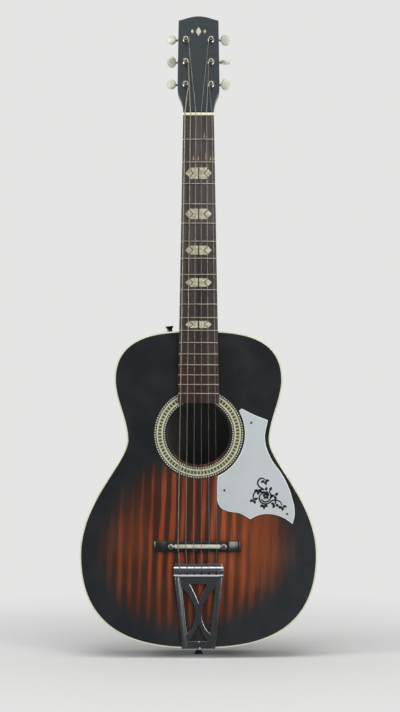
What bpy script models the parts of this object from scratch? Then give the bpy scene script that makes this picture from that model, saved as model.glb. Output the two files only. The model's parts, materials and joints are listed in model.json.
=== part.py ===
"""A small steel-string guitar with a tailpiece, upright, its tail strap button's end face at the origin.

+Z runs along the neck, the front faces -Y and the bass side is at -X. Sizes are in metres.
The tuner keys and the posts that they turn have their origins on their own axes.
"""

import math

import bmesh
import bpy
import numpy as np
from mathutils import Matrix, Vector
from mathutils.geometry import interpolate_bezier

GAP = 0.0002  # left between pieces that touch

# Body
TAIL_Z = 0.014
BODY_LENGTH = 0.455
FRONT_Y = -0.046
TAIL_DEPTH = 0.092
HEEL_DEPTH = 0.082
LOWER_BOUT = (0.1702, 0.1335)  # half width over the binding, and height above the tail
WAIST = (0.1026, 0.2990)
UPPER_BOUT = (0.1206, 0.3850)
TOP_THICKNESS = 0.003
BACK_THICKNESS = 0.0026
BACK_ARCH = 0.0045
RIB_THICKNESS = 0.0025
BINDING_WIDTH = 0.002
OUTLINE_STEPS = (12, 11, 8, 10)  # points on each of the outline's stretches, from the tail
RING_SIDES = 40  # of the soundhole and the rosette

# Soundhole
HOLE_Z = 0.3217
HOLE_RADIUS = 0.045
ROSETTE_INNER = 0.0482
ROSETTE_OUTER = 0.0653
ROSETTE_THICKNESS = 0.0009
ROSETTE_PROUD = 0.00005

# Scale and fretboard: the twelfth fret lies over the end of the body
SCALE_LENGTH = 0.616
FRETS = 18
NECK_END_Z = TAIL_Z + BODY_LENGTH
NUT_Z = NECK_END_Z + SCALE_LENGTH / 2
SADDLE_Z = NECK_END_Z - SCALE_LENGTH / 2
BOARD_END_Z = 0.3653
BOARD_THICKNESS = 0.0055
BOARD_NUT_WIDTH = 0.0441
BOARD_END_WIDTH = 0.0591
BOARD_BACK_Y = FRONT_Y - GAP
BOARD_FRONT_Y = BOARD_BACK_Y - BOARD_THICKNESS
FRET_WIDTH = 0.0024
FRET_HEIGHT = 0.0010
FRET_SHORT = 0.0003  # of the fretboard's edge
TANG_WIDTH = 0.0004
TANG_DEPTH = 0.0021
NUT_THICKNESS = 0.0048
NUT_TOP_Y = BOARD_FRONT_Y - 0.0023
NUT_SLOT_Y = BOARD_FRONT_Y - 0.0015

# Neck and head; the head's own frame has X across, Y up its face and Z out of its face
HEAD_TILT = math.radians(14)
HEAD_ORIGIN = Vector((0, FRONT_Y - 0.0015, NUT_Z + NUT_THICKNESS + 0.0008))
HEAD_THICKNESS = 0.015
HEAD_HALF = (  # across and up the face, from the nut to the peak
    (0.0220, 0.0, "corner"),
    (0.0222, 0.0060, "smooth"),
    (0.0247, 0.0170, "smooth"),
    (0.0295, 0.0300, "smooth"),
    (0.0300, 0.0370, "smooth"),
    (0.0289, 0.1405, "corner"),
)
HEAD_PEAK = 0.1472
NECK_PROFILE = (  # height, depth behind the fretboard, and how full the back's curve is
    (0.4550, 0.0800, 1.6),
    (0.4850, 0.0785, 1.6),
    (0.4905, 0.0640, 1.7),
    (0.4980, 0.0490, 1.8),
    (0.5090, 0.0370, 1.9),
    (0.5250, 0.0290, 2.0),
    (0.5500, 0.0245, 2.1),
    (0.6600, 0.0195, 2.2),
    (0.7650, 0.0158, 2.2),
)
NECK_INTO_HEAD = (  # up the head's face, half width, front behind the face, depth and fullness
    (0.002, 0.0214, 0.0012, 0.0165, 2.2),
    (0.022, 0.0200, 0.0016, 0.0120, 2.2),
)
NECK_RING_POINTS = 11
BODY_SPACE = 0.07  # how far the cut that fits the heel to the body reaches in front and behind
DOVETAIL_DEPTH = 0.018
DOVETAIL_ROOT = 0.003  # overlap of the tenon with the heel
DOVETAIL_NECK = 0.0095
DOVETAIL_TIP = 0.0135
DOVETAIL_BACK_Y = 0.020

# Blocks and braces inside the body
NECK_BLOCK_WIDTH = 0.100
NECK_BLOCK_LOW_Z = 0.418
TAIL_BLOCK_WIDTH = 0.070
TAIL_BLOCK_HIGH_Z = 0.040
BLOCK_REACH = 0.060  # in front and behind, before the body's space trims them
UPPER_BRACE_Z = 0.392
LOWER_BRACE_Z = 0.258
BRACE_THICKNESS = 0.007
BRACE_DEPTH = 0.009
BRACE_SHORT = 0.008  # of the body's side, at each end
PLATE_WIDTH = 0.140
PLATE_HEIGHT = 0.036
PLATE_THICKNESS = 0.003

# Bridge, which sits a little to the bass side
BRIDGE_X = -0.0015
BRIDGE_Z = 0.1603
BRIDGE_WIDTH = 0.1248
BRIDGE_REACH = 0.0154
BRIDGE_MIDDLE = 0.0908
BRIDGE_HEIGHT = 0.0085
WING_HEIGHT = 0.0034
WING_STRIP = 0.004
SCOOP_POWER = 1.6  # of the curve from the wing's strip up to the middle
SADDLE_WIDTH = 0.066
SADDLE_THICKNESS = 0.0052
SADDLE_TOP_Y = FRONT_Y - 0.0120
SADDLE_SLOT_DEPTH = 0.0042
BOLT_X = 0.0378
BOLT_HEAD_RADIUS = 0.004
BOLT_BRIM = 0.0008
BOLT_DOME = 0.0016
BOLT_SLOT_WIDTH = 0.001
BOLT_SLOT_FLOOR = 0.0016
BOLT_RADIUS = 0.002
BOLT_LENGTH = 0.0185
BOLT_SIDES = 12
BOLT_HOLE_SIDES = 10
BOLT_HOLE_REACH = 0.020

# Tailpiece
BAR_LOW_Z = 0.1170
BAR_HIGH_Z = 0.1312
BAR_WIDTH = 0.0706
FRAME_TAIL_HALF = 0.02375
FRAME_BAR_HALF = 0.0350
RAIL_WIDTH = 0.0095
SHEET = 0.0014
FRAME_CLEAR_TAIL = 0.0012  # under the frame at the tail, and at the bar
FRAME_CLEAR_BAR = 0.0034
FRAME_LAP_TAIL = 0.0005  # of the frame into its hook, and into the bar
FRAME_LAP_BAR = 0.003
UPPER_CUT = (  # across, height above the tail, and the kind of point
    (-0.0122, 0.0922, "corner"),
    (0.0122, 0.0922, "corner"),
    (0.0047, 0.0778, "smooth"),
    (0.0, 0.0658, "corner"),
    (-0.0047, 0.0778, "smooth"),
)
LOWER_CUT = (
    (0.0, 0.0335, "corner"),
    (0.0054, 0.0228, "smooth"),
    (0.0123, 0.0108, "corner"),
    (-0.0123, 0.0108, "corner"),
    (-0.0054, 0.0228, "smooth"),
)
SIDE_CUT_ENDS = (0.0220, 0.0875)
SIDE_CUT_ARC = ((0.0118, 0.0730), (0.0047, 0.0500), (0.0098, 0.0295))
ROLL_RADIUS = 0.0024
ROLL_Z = BAR_HIGH_Z - ROLL_RADIUS
ROLL_HEIGHT = 0.0086  # above the soundboard
BAR_BASE = 0.002
LIP_THICKNESS = 0.003
LIP_HEIGHT = 0.0070
HOOK_BEND = 0.0014
HOOK_LAP = 0.006
TAB_LENGTH = 0.066

# Strap buttons, with (radius, height) profiles
END_PIN_PROFILE = (
    (0.0062, 0.0),
    (0.0068, 0.0008),
    (0.0068, 0.0022),
    (0.0052, 0.0038),
    (0.0046, 0.0060),
    (0.0050, 0.0088),
)
END_PIN_FLANGE = 0.0064
END_PIN_STEM = 0.0040
END_PIN_STEM_END = 0.036
END_PIN_HOLE_START = 0.004  # below the tail
STRAP_BUTTON_X = -0.0415
STRAP_BUTTON_Y = -0.004
STRAP_BUTTON_PROFILE = (
    (0.0042, 0.0004),
    (0.0036, 0.0022),
    (0.0038, 0.0049),
    (0.0056, 0.0067),
    (0.0060, 0.0075),
    (0.0056, 0.0085),
)
STRAP_SCREW_RADIUS = 0.0020
STRAP_SCREW_LENGTH = 0.018

# Tuners
TUNERS_PER_SIDE = 3
TUNER_X = 0.0179
TUNER_FIRST = 0.0410
TUNER_STEP = 0.0345
TEETH = 14
GEAR_PITCH = 0.0056
GEAR_TIP = 0.0061
GEAR_ROOT = 0.0044
TOOTH_TIP = math.radians(2.8)  # half a tooth's angle at its tip, and at its root
TOOTH_ROOT = math.radians(8.4)
GEAR_THICKNESS = 0.0028
WORM_PITCH_RADIUS = 0.0029
WORM_CREST = 0.0034
WORM_ROOT = 0.0021
WORM_LENGTH = 0.0092
WORM_RINGS = 19
WORM_DEPTH = 0.0204  # of the worm's axis behind the head's face
WORM_LEAD = 2 * math.pi * GEAR_PITCH / TEETH
AXES_APART = GEAR_PITCH + WORM_PITCH_RADIUS
KEY_SHAFT = 0.0016  # radii of the key's shaft, the cap on its inner end and the button's collar
KEY_CAP = 0.0024
KEY_TIP = 0.0018
KEY_COLLAR = 0.0026
KEY_SIDES = 10
BUTTON_START = 0.0143
BUTTON_SIZE = (0.0138, 0.0172, 0.0060)
BUTTON_RINGS = (28, 50, 75, 100, 125, 148, 166)  # degrees round the button's side view
BUTTON_BULGE = 0.45
EAR_X = 0.0066
EAR_THICKNESS = 0.0012
EAR_HEIGHT = 0.0080
STRIP_THICKNESS = 0.0012
STRIP_WIDTH = 0.0170
STRIP_BELOW = 0.0135  # from the lowest post, and from the highest
STRIP_ABOVE = 0.0215
POST_RADIUS = 0.0030
POST_WAIST = 0.0025
POST_SIDES = 10
POST_CLEARANCE = 0.0005
POST_TOP = 0.0080
POST_HOLE = 0.0007
POST_HOLE_DEPTH = 0.0019  # below the post's top
GEAR_HUB_RADIUS = 0.0039
GEAR_SCREW_RADIUS = 0.0022
KEY_REST = {  # turn of each button in the photograph, in degrees, by side and place from the nut up
    "bass": (-22, 42, -22),
    "treble": (0, 100, 30),
}

# Strings, from bass to treble
STRING_DIAMETERS = (0.00135, 0.00107, 0.00081, 0.00061, 0.00041, 0.00030)
STRINGS_AT_NUT = 0.0385
STRINGS_AT_SADDLE = 0.0556
STRINGS_AT_BAR = 0.0521
STRING_POSTS = (("bass", 0), ("bass", 1), ("bass", 2), ("treble", 2), ("treble", 1), ("treble", 0))
STRING_END_HEIGHT = 0.0066  # above the soundboard, and up from the bar's lower edge
STRING_END_UP = 0.0046
WRAP_GAP = 0.00045
WRAP_CLEARANCE = 0.0003
WRAP_START = 0.0020  # above the head's face
WRAP_POINTS = 10
WRAP_TURNS = (1.4, 1.8, 2.2, 2.6, 3.0, 3.2)

# Pickguard: across, height, and the kind of point; the rosette's rim closes it
PICKGUARD_THICKNESS = 0.002
PICKGUARD = (
    (0.0616, 0.3578, "corner"),
    (0.0795, 0.3489, "smooth"),
    (0.0993, 0.3412, "corner"),
    (0.0952, 0.3140, "smooth"),
    (0.1026, 0.2889, "smooth"),
    (0.1222, 0.2593, "smooth"),
    (0.1341, 0.2296, "smooth"),
    (0.1377, 0.2058, "smooth"),
    (0.1347, 0.1924, "corner"),
    (0.1195, 0.2022, "smooth"),
    (0.1009, 0.2067, "smooth"),
    (0.0860, 0.2049, "smooth"),
    (0.0741, 0.1992, "corner"),
    (0.0600, 0.2072, "smooth"),
    (0.0400, 0.2114, "smooth"),
    (0.0300, 0.2180, "smooth"),
    (0.0266, 0.2391, "smooth"),
)
PICKGUARD_RIM = 0.0664
PICKGUARD_RIM_ANGLES = (-65.5, 29.5)


def clear_scene():
    for obj in list(bpy.data.objects):
        bpy.data.objects.remove(obj, do_unlink=True)


def new_collection(name):
    collection = bpy.data.collections.new(name)
    bpy.context.scene.collection.children.link(collection)
    return collection


def paint(name, colour, roughness, metallic=0.0):
    material = bpy.data.materials.new(name)
    material.use_nodes = True
    shader = material.node_tree.nodes["Principled BSDF"]
    shader.inputs["Base Color"].default_value = (*colour, 1.0)
    shader.inputs["Roughness"].default_value = roughness
    shader.inputs["Metallic"].default_value = metallic
    material.diffuse_color = (*colour, 1.0)
    return material


def mesh_from(name, bm):
    mesh = bpy.data.meshes.new(name)
    bmesh.ops.recalc_face_normals(bm, faces=bm.faces)
    bm.to_mesh(mesh)
    bm.free()
    mesh.shade_smooth()
    mesh.set_sharp_from_angle(angle=math.radians(35))
    return mesh


def add_part(name, data, material, parent=None):
    """One piece of the guitar."""
    obj = bpy.data.objects.new(name, data)
    PARTS.objects.link(obj)
    if not data.materials:
        data.materials.append(material)
    obj.parent = parent
    return obj


def add_cutter(name, bm, parent=None):
    """A helper that a Boolean uses, left out of the guitar."""
    obj = bpy.data.objects.new(name, mesh_from(name, bm))
    CUTTERS.objects.link(obj)
    obj.hide_render = True
    obj.display_type = "WIRE"
    obj.parent = parent
    return obj


def boolean(obj, operation, helpers):
    for helper in helpers:
        modifier = obj.modifiers.new(f"{operation.lower()} {helper.name}", "BOOLEAN")
        modifier.operation = operation
        modifier.object = helper


def box(low, high):
    bm = bmesh.new()
    low, high = Vector(low), Vector(high)
    size = Matrix.Diagonal((high - low).to_4d())
    size[3][3] = 1
    bmesh.ops.create_cube(bm, size=1, matrix=Matrix.Translation((low + high) / 2) @ size)
    return bm


def cylinder(start, end, radius, sides, end_radius=None):
    bm = bmesh.new()
    start, end = Vector(start), Vector(end)
    run = end - start
    turn = run.to_track_quat("Z", "Y").to_matrix().to_4x4()
    bmesh.ops.create_cone(
        bm,
        cap_ends=True,
        segments=sides,
        radius1=radius,
        radius2=radius if end_radius is None else end_radius,
        depth=run.length,
        matrix=Matrix.Translation((start + end) / 2) @ turn,
    )
    return bm


def loft(rings, closed_run=False):
    """A skin over rings of equally many points, capped unless the run closes on itself."""
    bm = bmesh.new()
    rows = [[bm.verts.new(point) for point in ring] for ring in rings]
    following = rows[1:] + rows[:1] if closed_run else rows[1:]
    for row, after in zip(rows, following):
        for i in range(len(row)):
            j = (i + 1) % len(row)
            bm.faces.new((row[i], row[j], after[j], after[i]))
    if not closed_run:
        bm.faces.new(rows[0])
        bm.faces.new(rows[-1])
    return bm


def turned(profile, sides):
    """A solid turned round Z from (radius, height) pairs, bottom to top."""
    angles = [2 * math.pi * i / sides for i in range(sides)]
    return loft([[(r * math.cos(a), r * math.sin(a), z) for a in angles] for r, z in profile])


def circle(radius, sides, centre=(0, 0)):
    angles = [2 * math.pi * i / sides for i in range(sides)]
    return [(centre[0] + radius * math.cos(a), centre[1] + radius * math.sin(a), "line") for a in angles]


def plate_curve(name, outlines, thickness):
    """A flat plate in XY, its first outline the rim and the others holes, each of (x, y, kind) points."""
    curve = bpy.data.curves.new(name, "CURVE")
    curve.dimensions = "2D"
    curve.fill_mode = "BOTH"
    curve.extrude = thickness / 2
    curve.resolution_u = 4
    for outline in outlines:
        straight = all(kind == "line" for _, _, kind in outline)
        spline = curve.splines.new("POLY" if straight else "BEZIER")
        spline.use_cyclic_u = True
        points = spline.points if straight else spline.bezier_points
        points.add(len(outline) - 1)
        for point, (x, y, kind) in zip(points, outline):
            point.co = (x, y, 0, 1) if straight else (x, y, 0)
            if not straight:
                handle = "AUTO" if kind == "smooth" else "VECTOR"
                point.handle_left_type = point.handle_right_type = handle
    return curve


def meshed(curve):
    """The curve's solid as a mesh whose caps are welded to its sides."""
    guide = bpy.data.objects.new(curve.name, curve)
    CUTTERS.objects.link(guide)
    graph = bpy.context.evaluated_depsgraph_get()
    mesh = bpy.data.meshes.new_from_object(guide.evaluated_get(graph))
    bpy.data.objects.remove(guide)
    bm = bmesh.new()
    bm.from_mesh(mesh)
    bmesh.ops.remove_doubles(bm, verts=bm.verts, dist=1e-6)
    return bm


def stand_up(bm, y):
    """Turns a plate made in XY to face the front, its middle at this depth."""
    bm.transform(Matrix.Translation((0, y, 0)) @ Matrix.Rotation(math.pi / 2, 4, "X"))
    return bm


def half_outline(inset=0.0):
    """(x, z) points of the body's treble side, tail to neck, this far inside the binding's outer edge."""
    knots = [(0, 0), LOWER_BOUT, WAIST, UPPER_BOUT, (0, BODY_LENGTH)]
    before = [None, (0, -0.133), (0, -0.032), (0, -0.028), (0.040, 0)]
    after = [(0.051, 0), (0, 0.078), (0, 0.028), (0, 0.0725), None]
    points = []
    for i in range(4):
        start, end = Vector(knots[i]), Vector(knots[i + 1])
        stretch = interpolate_bezier(
            start, start + Vector(after[i]), end + Vector(before[i + 1]), end, OUTLINE_STEPS[i]
        )
        points += stretch[:-1]
    points = np.array([tuple(point) for point in points] + [(0, BODY_LENGTH)]) + (0, TAIL_Z)
    run = np.gradient(points, axis=0)
    run[0], run[-1] = (1, 0), (-1, 0)
    inward = np.stack([-run[:, 1], run[:, 0]], axis=1) / np.linalg.norm(run, axis=1)[:, None]
    return points + inset * inward


def full_outline(inset=0.0):
    half = half_outline(inset)
    mirrored = half[-2:0:-1] * (-1, 1)
    return [(x, z, "line") for x, z in np.concatenate([half, mirrored])]


def back_y(x, z):
    """The back's outer face, which leans in towards the neck and is gently arched."""
    outline = half_outline()
    along = min(max((z - TAIL_Z) / BODY_LENGTH, 0), 1)
    half = max(np.interp(z, outline[:, 1], outline[:, 0]), 1e-4)
    crown = max(1 - (x / half) ** 2, 0) * math.sin(math.pi * along)
    return FRONT_Y + TAIL_DEPTH - along * (TAIL_DEPTH - HEEL_DEPTH) + BACK_ARCH * crown


def body_slab(inset, front, back):
    """A solid over the body's outline between two faces, each a depth over (x, z)."""
    columns = np.linspace(-1, 1, 7)
    rings = []
    for half, z in half_outline(inset):
        row = [float(half * s) for s in columns]
        near = [(x, front(x, z), z) for x in row]
        far = [(x, back(x, z), z) for x in reversed(row)]
        rings.append(near + far)
    bm = loft(rings)
    bmesh.ops.remove_doubles(bm, verts=bm.verts, dist=1e-6)
    return bm


def board_half_width(z):
    share = (z - BOARD_END_Z) / (NUT_Z - BOARD_END_Z)
    return (BOARD_END_WIDTH + share * (BOARD_NUT_WIDTH - BOARD_END_WIDTH)) / 2


def fret_z(number):
    return SADDLE_Z + SCALE_LENGTH * 2 ** (-number / 12)


def head_matrix():
    return Matrix.Translation(HEAD_ORIGIN) @ Matrix.Rotation(math.pi / 2 - HEAD_TILT, 4, "X")


def tuner_height(place):
    return TUNER_FIRST + place * TUNER_STEP


def side_sign(side):
    return -1 if side == "bass" else 1


def make_soundboard(black):
    inset = BINDING_WIDTH + GAP
    rim = full_outline(inset)
    hole = circle(HOLE_RADIUS, RING_SIDES, (0, HOLE_Z))
    bm = meshed(plate_curve("soundboard", [rim, hole], TOP_THICKNESS))
    stand_up(bm, FRONT_Y + TOP_THICKNESS / 2)
    soundboard = add_part("soundboard", mesh_from("soundboard", bm), black)
    radii = (ROSETTE_OUTER + GAP, ROSETTE_INNER - GAP)
    recess = [circle(radius, RING_SIDES, (0, HOLE_Z)) for radius in radii]
    depth = ROSETTE_THICKNESS - ROSETTE_PROUD + GAP
    cutter = stand_up(meshed(plate_curve("rosette recess", recess, 2 * depth)), FRONT_Y)
    boolean(soundboard, "DIFFERENCE", [add_cutter("rosette recess", cutter), *bolt_holes("soundboard")])


def bolt_holes(name):
    """Cuts for both bridge bolts, from in front of the bridge to behind the plate under it."""
    holes = []
    for x in (BRIDGE_X - BOLT_X, BRIDGE_X + BOLT_X):
        start, end = ((x, FRONT_Y + y, BRIDGE_Z) for y in (-BOLT_HOLE_REACH, BOLT_HOLE_REACH))
        bm = cylinder(start, end, BOLT_RADIUS + GAP, BOLT_HOLE_SIDES)
        holes.append(add_cutter(f"bolt hole in {name}", bm))
    return holes


def make_rosette(cream):
    rings = [circle(radius, RING_SIDES, (0, HOLE_Z)) for radius in (ROSETTE_OUTER, ROSETTE_INNER)]
    rosette = add_part("rosette", plate_curve("rosette", rings, ROSETTE_THICKNESS), cream)
    rosette.rotation_euler.x = math.pi / 2
    rosette.location.y = FRONT_Y - ROSETTE_PROUD + ROSETTE_THICKNESS / 2


def make_binding(cream):
    outer = full_outline()
    inner = full_outline(BINDING_WIDTH)
    front, back = FRONT_Y, FRONT_Y + TOP_THICKNESS
    rings = [
        [(x1, front, z1), (x2, front, z2), (x2, back, z2), (x1, back, z1)]
        for (x1, z1, _), (x2, z2, _) in zip(outer, inner)
    ]
    add_part("top_binding", mesh_from("top_binding", loft(rings, closed_run=True)), cream)


def make_rib(side, black, mortise):
    sign = side_sign(side)
    front = FRONT_Y + TOP_THICKNESS + GAP
    rings = []
    for (x1, z1), (x2, z2) in zip(half_outline(), half_outline(RIB_THICKNESS)):
        x1, x2 = max(x1, GAP / 2), max(x2, GAP / 2)
        back1 = back_y(x1, z1) - BACK_THICKNESS - GAP
        back2 = back_y(x2, z2) - BACK_THICKNESS - GAP
        rings.append(
            [(sign * x1, front, z1), (sign * x2, front, z2), (sign * x2, back2, z2), (sign * x1, back1, z1)]
        )
    rib = add_part(f"{side}_rib", mesh_from(f"{side}_rib", loft(rings)), black)
    holes = [end_pin_hole(f"{side} rib")]
    if side == "bass":
        holes.append(strap_button_hole("bass rib"))
    boolean(rib, "DIFFERENCE", [mortise, *holes])


def make_back(black):
    bm = body_slab(0, lambda x, z: back_y(x, z) - BACK_THICKNESS, back_y)
    add_part("back", mesh_from("back", bm), black)


def cavity():
    """The space inside the ribs, between the soundboard and the back."""
    front = FRONT_Y + TOP_THICKNESS + GAP
    rear = BACK_THICKNESS + GAP
    return body_slab(RIB_THICKNESS + GAP, lambda x, z: front, lambda x, z: back_y(x, z) - rear)


def dovetail(grow):
    """The tenon of the heel, or with some growth its mortise."""
    tip = NECK_END_Z - DOVETAIL_DEPTH - grow
    mouth = NECK_END_Z + DOVETAIL_ROOT * (2 if grow else 1)
    low_y = FRONT_Y + TOP_THICKNESS + (0 if grow else 2 * GAP)
    high_y = DOVETAIL_BACK_Y + grow
    section = [
        (-DOVETAIL_NECK - grow, mouth),
        (DOVETAIL_NECK + grow, mouth),
        (DOVETAIL_NECK + grow, NECK_END_Z),
        (DOVETAIL_TIP + grow, tip),
        (-DOVETAIL_TIP - grow, tip),
        (-DOVETAIL_NECK - grow, NECK_END_Z),
    ]
    return loft([[(x, y, z) for x, z in section] for y in (low_y, high_y)])


def end_pin_hole(name):
    start, end = (0, 0, TAIL_Z - END_PIN_HOLE_START), (0, 0, END_PIN_STEM_END + 0.001)
    return add_cutter(f"end pin hole in {name}", cylinder(start, end, END_PIN_STEM + GAP, 12))


def make_blocks(wood, mortise):
    neck_side, tail_side = NECK_BLOCK_WIDTH / 2, TAIL_BLOCK_WIDTH / 2
    neck_box = box((-neck_side, -BLOCK_REACH, NECK_BLOCK_LOW_Z), (neck_side, BLOCK_REACH, NECK_END_Z))
    tail_box = box((-tail_side, -BLOCK_REACH, 0), (tail_side, BLOCK_REACH, TAIL_BLOCK_HIGH_Z))
    neck_block = add_part("neck_block", mesh_from("neck_block", neck_box), wood)
    tail_block = add_part("tail_block", mesh_from("tail_block", tail_box), wood)
    space = add_cutter("cavity", cavity())
    for block in (neck_block, tail_block):
        boolean(block, "INTERSECT", [space])
    boolean(neck_block, "DIFFERENCE", [mortise, strap_button_hole("neck block")])
    boolean(tail_block, "DIFFERENCE", [end_pin_hole("tail block")])


def make_braces(wood):
    front = FRONT_Y + TOP_THICKNESS + GAP
    outline = half_outline()
    for name, z in (("upper_brace", UPPER_BRACE_Z), ("lower_brace", LOWER_BRACE_Z)):
        half = np.interp(z, outline[:, 1], outline[:, 0]) - BRACE_SHORT
        low = (-half, front, z - BRACE_THICKNESS / 2)
        high = (half, front + BRACE_DEPTH, z + BRACE_THICKNESS / 2)
        add_part(name, mesh_from(name, box(low, high)), wood)
    low = (BRIDGE_X - PLATE_WIDTH / 2, front, BRIDGE_Z - PLATE_HEIGHT / 2)
    high = (BRIDGE_X + PLATE_WIDTH / 2, front + PLATE_THICKNESS, BRIDGE_Z + PLATE_HEIGHT / 2)
    plate = add_part("bridge_plate", mesh_from("bridge_plate", box(low, high)), wood)
    boolean(plate, "DIFFERENCE", bolt_holes("bridge plate"))


def neck_ring(half_width, depth, fullness):
    """(x, depth behind the front) points of a flat front and a rounded back."""
    ring = []
    for angle in np.linspace(0, math.pi, NECK_RING_POINTS):
        across, behind = math.cos(angle), math.sin(angle)
        x = half_width * math.copysign(abs(across) ** (2 / fullness), across)
        ring.append((x, depth * behind ** (2 / fullness)))
    return ring


def head_outline():
    mirrored = [(-x, y, kind) for x, y, kind in reversed(HEAD_HALF)]
    return [*HEAD_HALF, (0, HEAD_PEAK, "smooth"), *mirrored]


def make_neck(wood, head):
    rings = []
    for z, depth, fullness in NECK_PROFILE:
        rings.append([(x, FRONT_Y + back, z) for x, back in neck_ring(board_half_width(z), depth, fullness)])
    matrix = head_matrix()
    for up, half_width, front, depth, fullness in NECK_INTO_HEAD:
        ring = neck_ring(half_width, depth, fullness)
        rings.append([tuple(matrix @ Vector((x, up, -front - back))) for x, back in ring])
    neck = add_part("neck", mesh_from("neck", loft(rings)), wood)
    body = add_cutter("body space", body_slab(-GAP, lambda x, z: -BODY_SPACE, lambda x, z: BODY_SPACE))
    boolean(neck, "DIFFERENCE", [body])
    tenon = add_cutter("dovetail tenon", dovetail(0))
    plate = meshed(plate_curve("head plate", [head_outline()], HEAD_THICKNESS))
    plate.transform(matrix @ Matrix.Translation((0, 0, -HEAD_THICKNESS / 2)))
    boolean(neck, "UNION", [tenon, add_cutter("head plate", plate)])
    holes = []
    for x in (-TUNER_X, TUNER_X):
        for place in range(TUNERS_PER_SIDE):
            start, end = (x, tuner_height(place), 0.01), (x, tuner_height(place), -2 * HEAD_THICKNESS)
            bm = cylinder(start, end, POST_RADIUS + POST_CLEARANCE, POST_SIDES)
            holes.append(add_cutter("post hole", bm, head))
    boolean(neck, "DIFFERENCE", holes)


def make_fretboard(rosewood):
    """Its side view, notched for the frets, skinned between its two edges."""
    side = [(BOARD_END_Z, BOARD_BACK_Y), (NUT_Z - GAP, BOARD_BACK_Y), (NUT_Z - GAP, BOARD_FRONT_Y)]
    half_slot = TANG_WIDTH / 2 + GAP
    floor = BOARD_FRONT_Y + TANG_DEPTH + 2 * GAP
    for number in range(1, FRETS + 1):
        z = fret_z(number)
        side += [(z + half_slot, BOARD_FRONT_Y), (z + half_slot, floor)]
        side += [(z - half_slot, floor), (z - half_slot, BOARD_FRONT_Y)]
    side.append((BOARD_END_Z, BOARD_FRONT_Y))
    rings = [[(sign * board_half_width(z), y, z) for z, y in side] for sign in (-1, 1)]
    add_part("fretboard", mesh_from("fretboard", loft(rings)), rosewood)


def make_frets(metal):
    for number in range(1, FRETS + 1):
        z = fret_z(number)
        seat = BOARD_FRONT_Y - GAP / 2
        bow = np.linspace(0, math.pi, 5)
        crown = [(z + FRET_WIDTH / 2 * math.cos(a), seat - FRET_HEIGHT * math.sin(a)) for a in bow]
        low, high, deep = z - TANG_WIDTH / 2, z + TANG_WIDTH / 2, seat + TANG_DEPTH
        side = [*crown, (low, seat), (low, deep), (high, deep), (high, seat)]
        reach = board_half_width(z) - FRET_SHORT
        rings = [[(sign * reach, y, up) for up, y in side] for sign in (-1, 1)]
        name = f"fret_{number:02d}"
        add_part(name, mesh_from(name, loft(rings)), metal)


def string_x(number, spread, centre=0.0):
    return centre + spread * (number / 5 - 0.5)


def make_nut(ivory):
    half = BOARD_NUT_WIDTH / 2
    low, high = NUT_Z, NUT_Z + NUT_THICKNESS
    bm = box((-half, NUT_TOP_Y, low), (half, BOARD_BACK_Y, high))
    nut = add_part("nut", mesh_from("nut", bm), ivory)
    slots = []
    for number, diameter in enumerate(STRING_DIAMETERS):
        x = string_x(number, STRINGS_AT_NUT)
        reach = (diameter + GAP) / 2
        bm = box((x - reach, NUT_TOP_Y - 0.001, low - 0.001), (x + reach, NUT_SLOT_Y, high + 0.001))
        slots.append(add_cutter("nut slot", bm))
    boolean(nut, "DIFFERENCE", slots)


def make_bridge(black, bone):
    middle, edge = BRIDGE_MIDDLE / 2, BRIDGE_WIDTH / 2
    top = FRONT_Y - BRIDGE_HEIGHT
    wing = FRONT_Y - WING_HEIGHT
    strip = edge - WING_STRIP
    scoop = []
    for share in (0.0, 0.3, 0.6, 0.85):
        scoop.append((strip - share * (strip - middle), wing + (top - wing) * share**SCOOP_POWER))
    right = [(edge, FRONT_Y - GAP), (edge, wing), *scoop, (middle, top)]
    profile = right + [(-x, y) for x, y in reversed(right)]
    low, high = BRIDGE_Z - BRIDGE_REACH / 2, BRIDGE_Z + BRIDGE_REACH / 2
    bm = loft([[(BRIDGE_X + x, y, z) for x, y in profile] for z in (low, high)])
    bridge = add_part("bridge", mesh_from("bridge", bm), black)
    half = SADDLE_THICKNESS / 2 + GAP
    reach = SADDLE_WIDTH / 2 + GAP
    floor = top + SADDLE_SLOT_DEPTH
    slot = box((BRIDGE_X - reach, top - 0.01, SADDLE_Z - half), (BRIDGE_X + reach, floor, SADDLE_Z + half))
    boolean(bridge, "DIFFERENCE", [add_cutter("saddle slot", slot), *bolt_holes("bridge")])
    make_saddle(floor - GAP, bone)


def make_saddle(foot, bone):
    half = SADDLE_THICKNESS / 2
    bow = np.linspace(0, math.pi, 9)
    crown = [(SADDLE_TOP_Y + half * (1 - math.sin(a)), SADDLE_Z + half * math.cos(a)) for a in bow]
    side = [*crown, (foot, SADDLE_Z - half), (foot, SADDLE_Z + half)]
    ends = (BRIDGE_X - SADDLE_WIDTH / 2, BRIDGE_X + SADDLE_WIDTH / 2)
    add_part("saddle", mesh_from("saddle", loft([[(x, y, z) for y, z in side] for x in ends])), bone)


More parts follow.
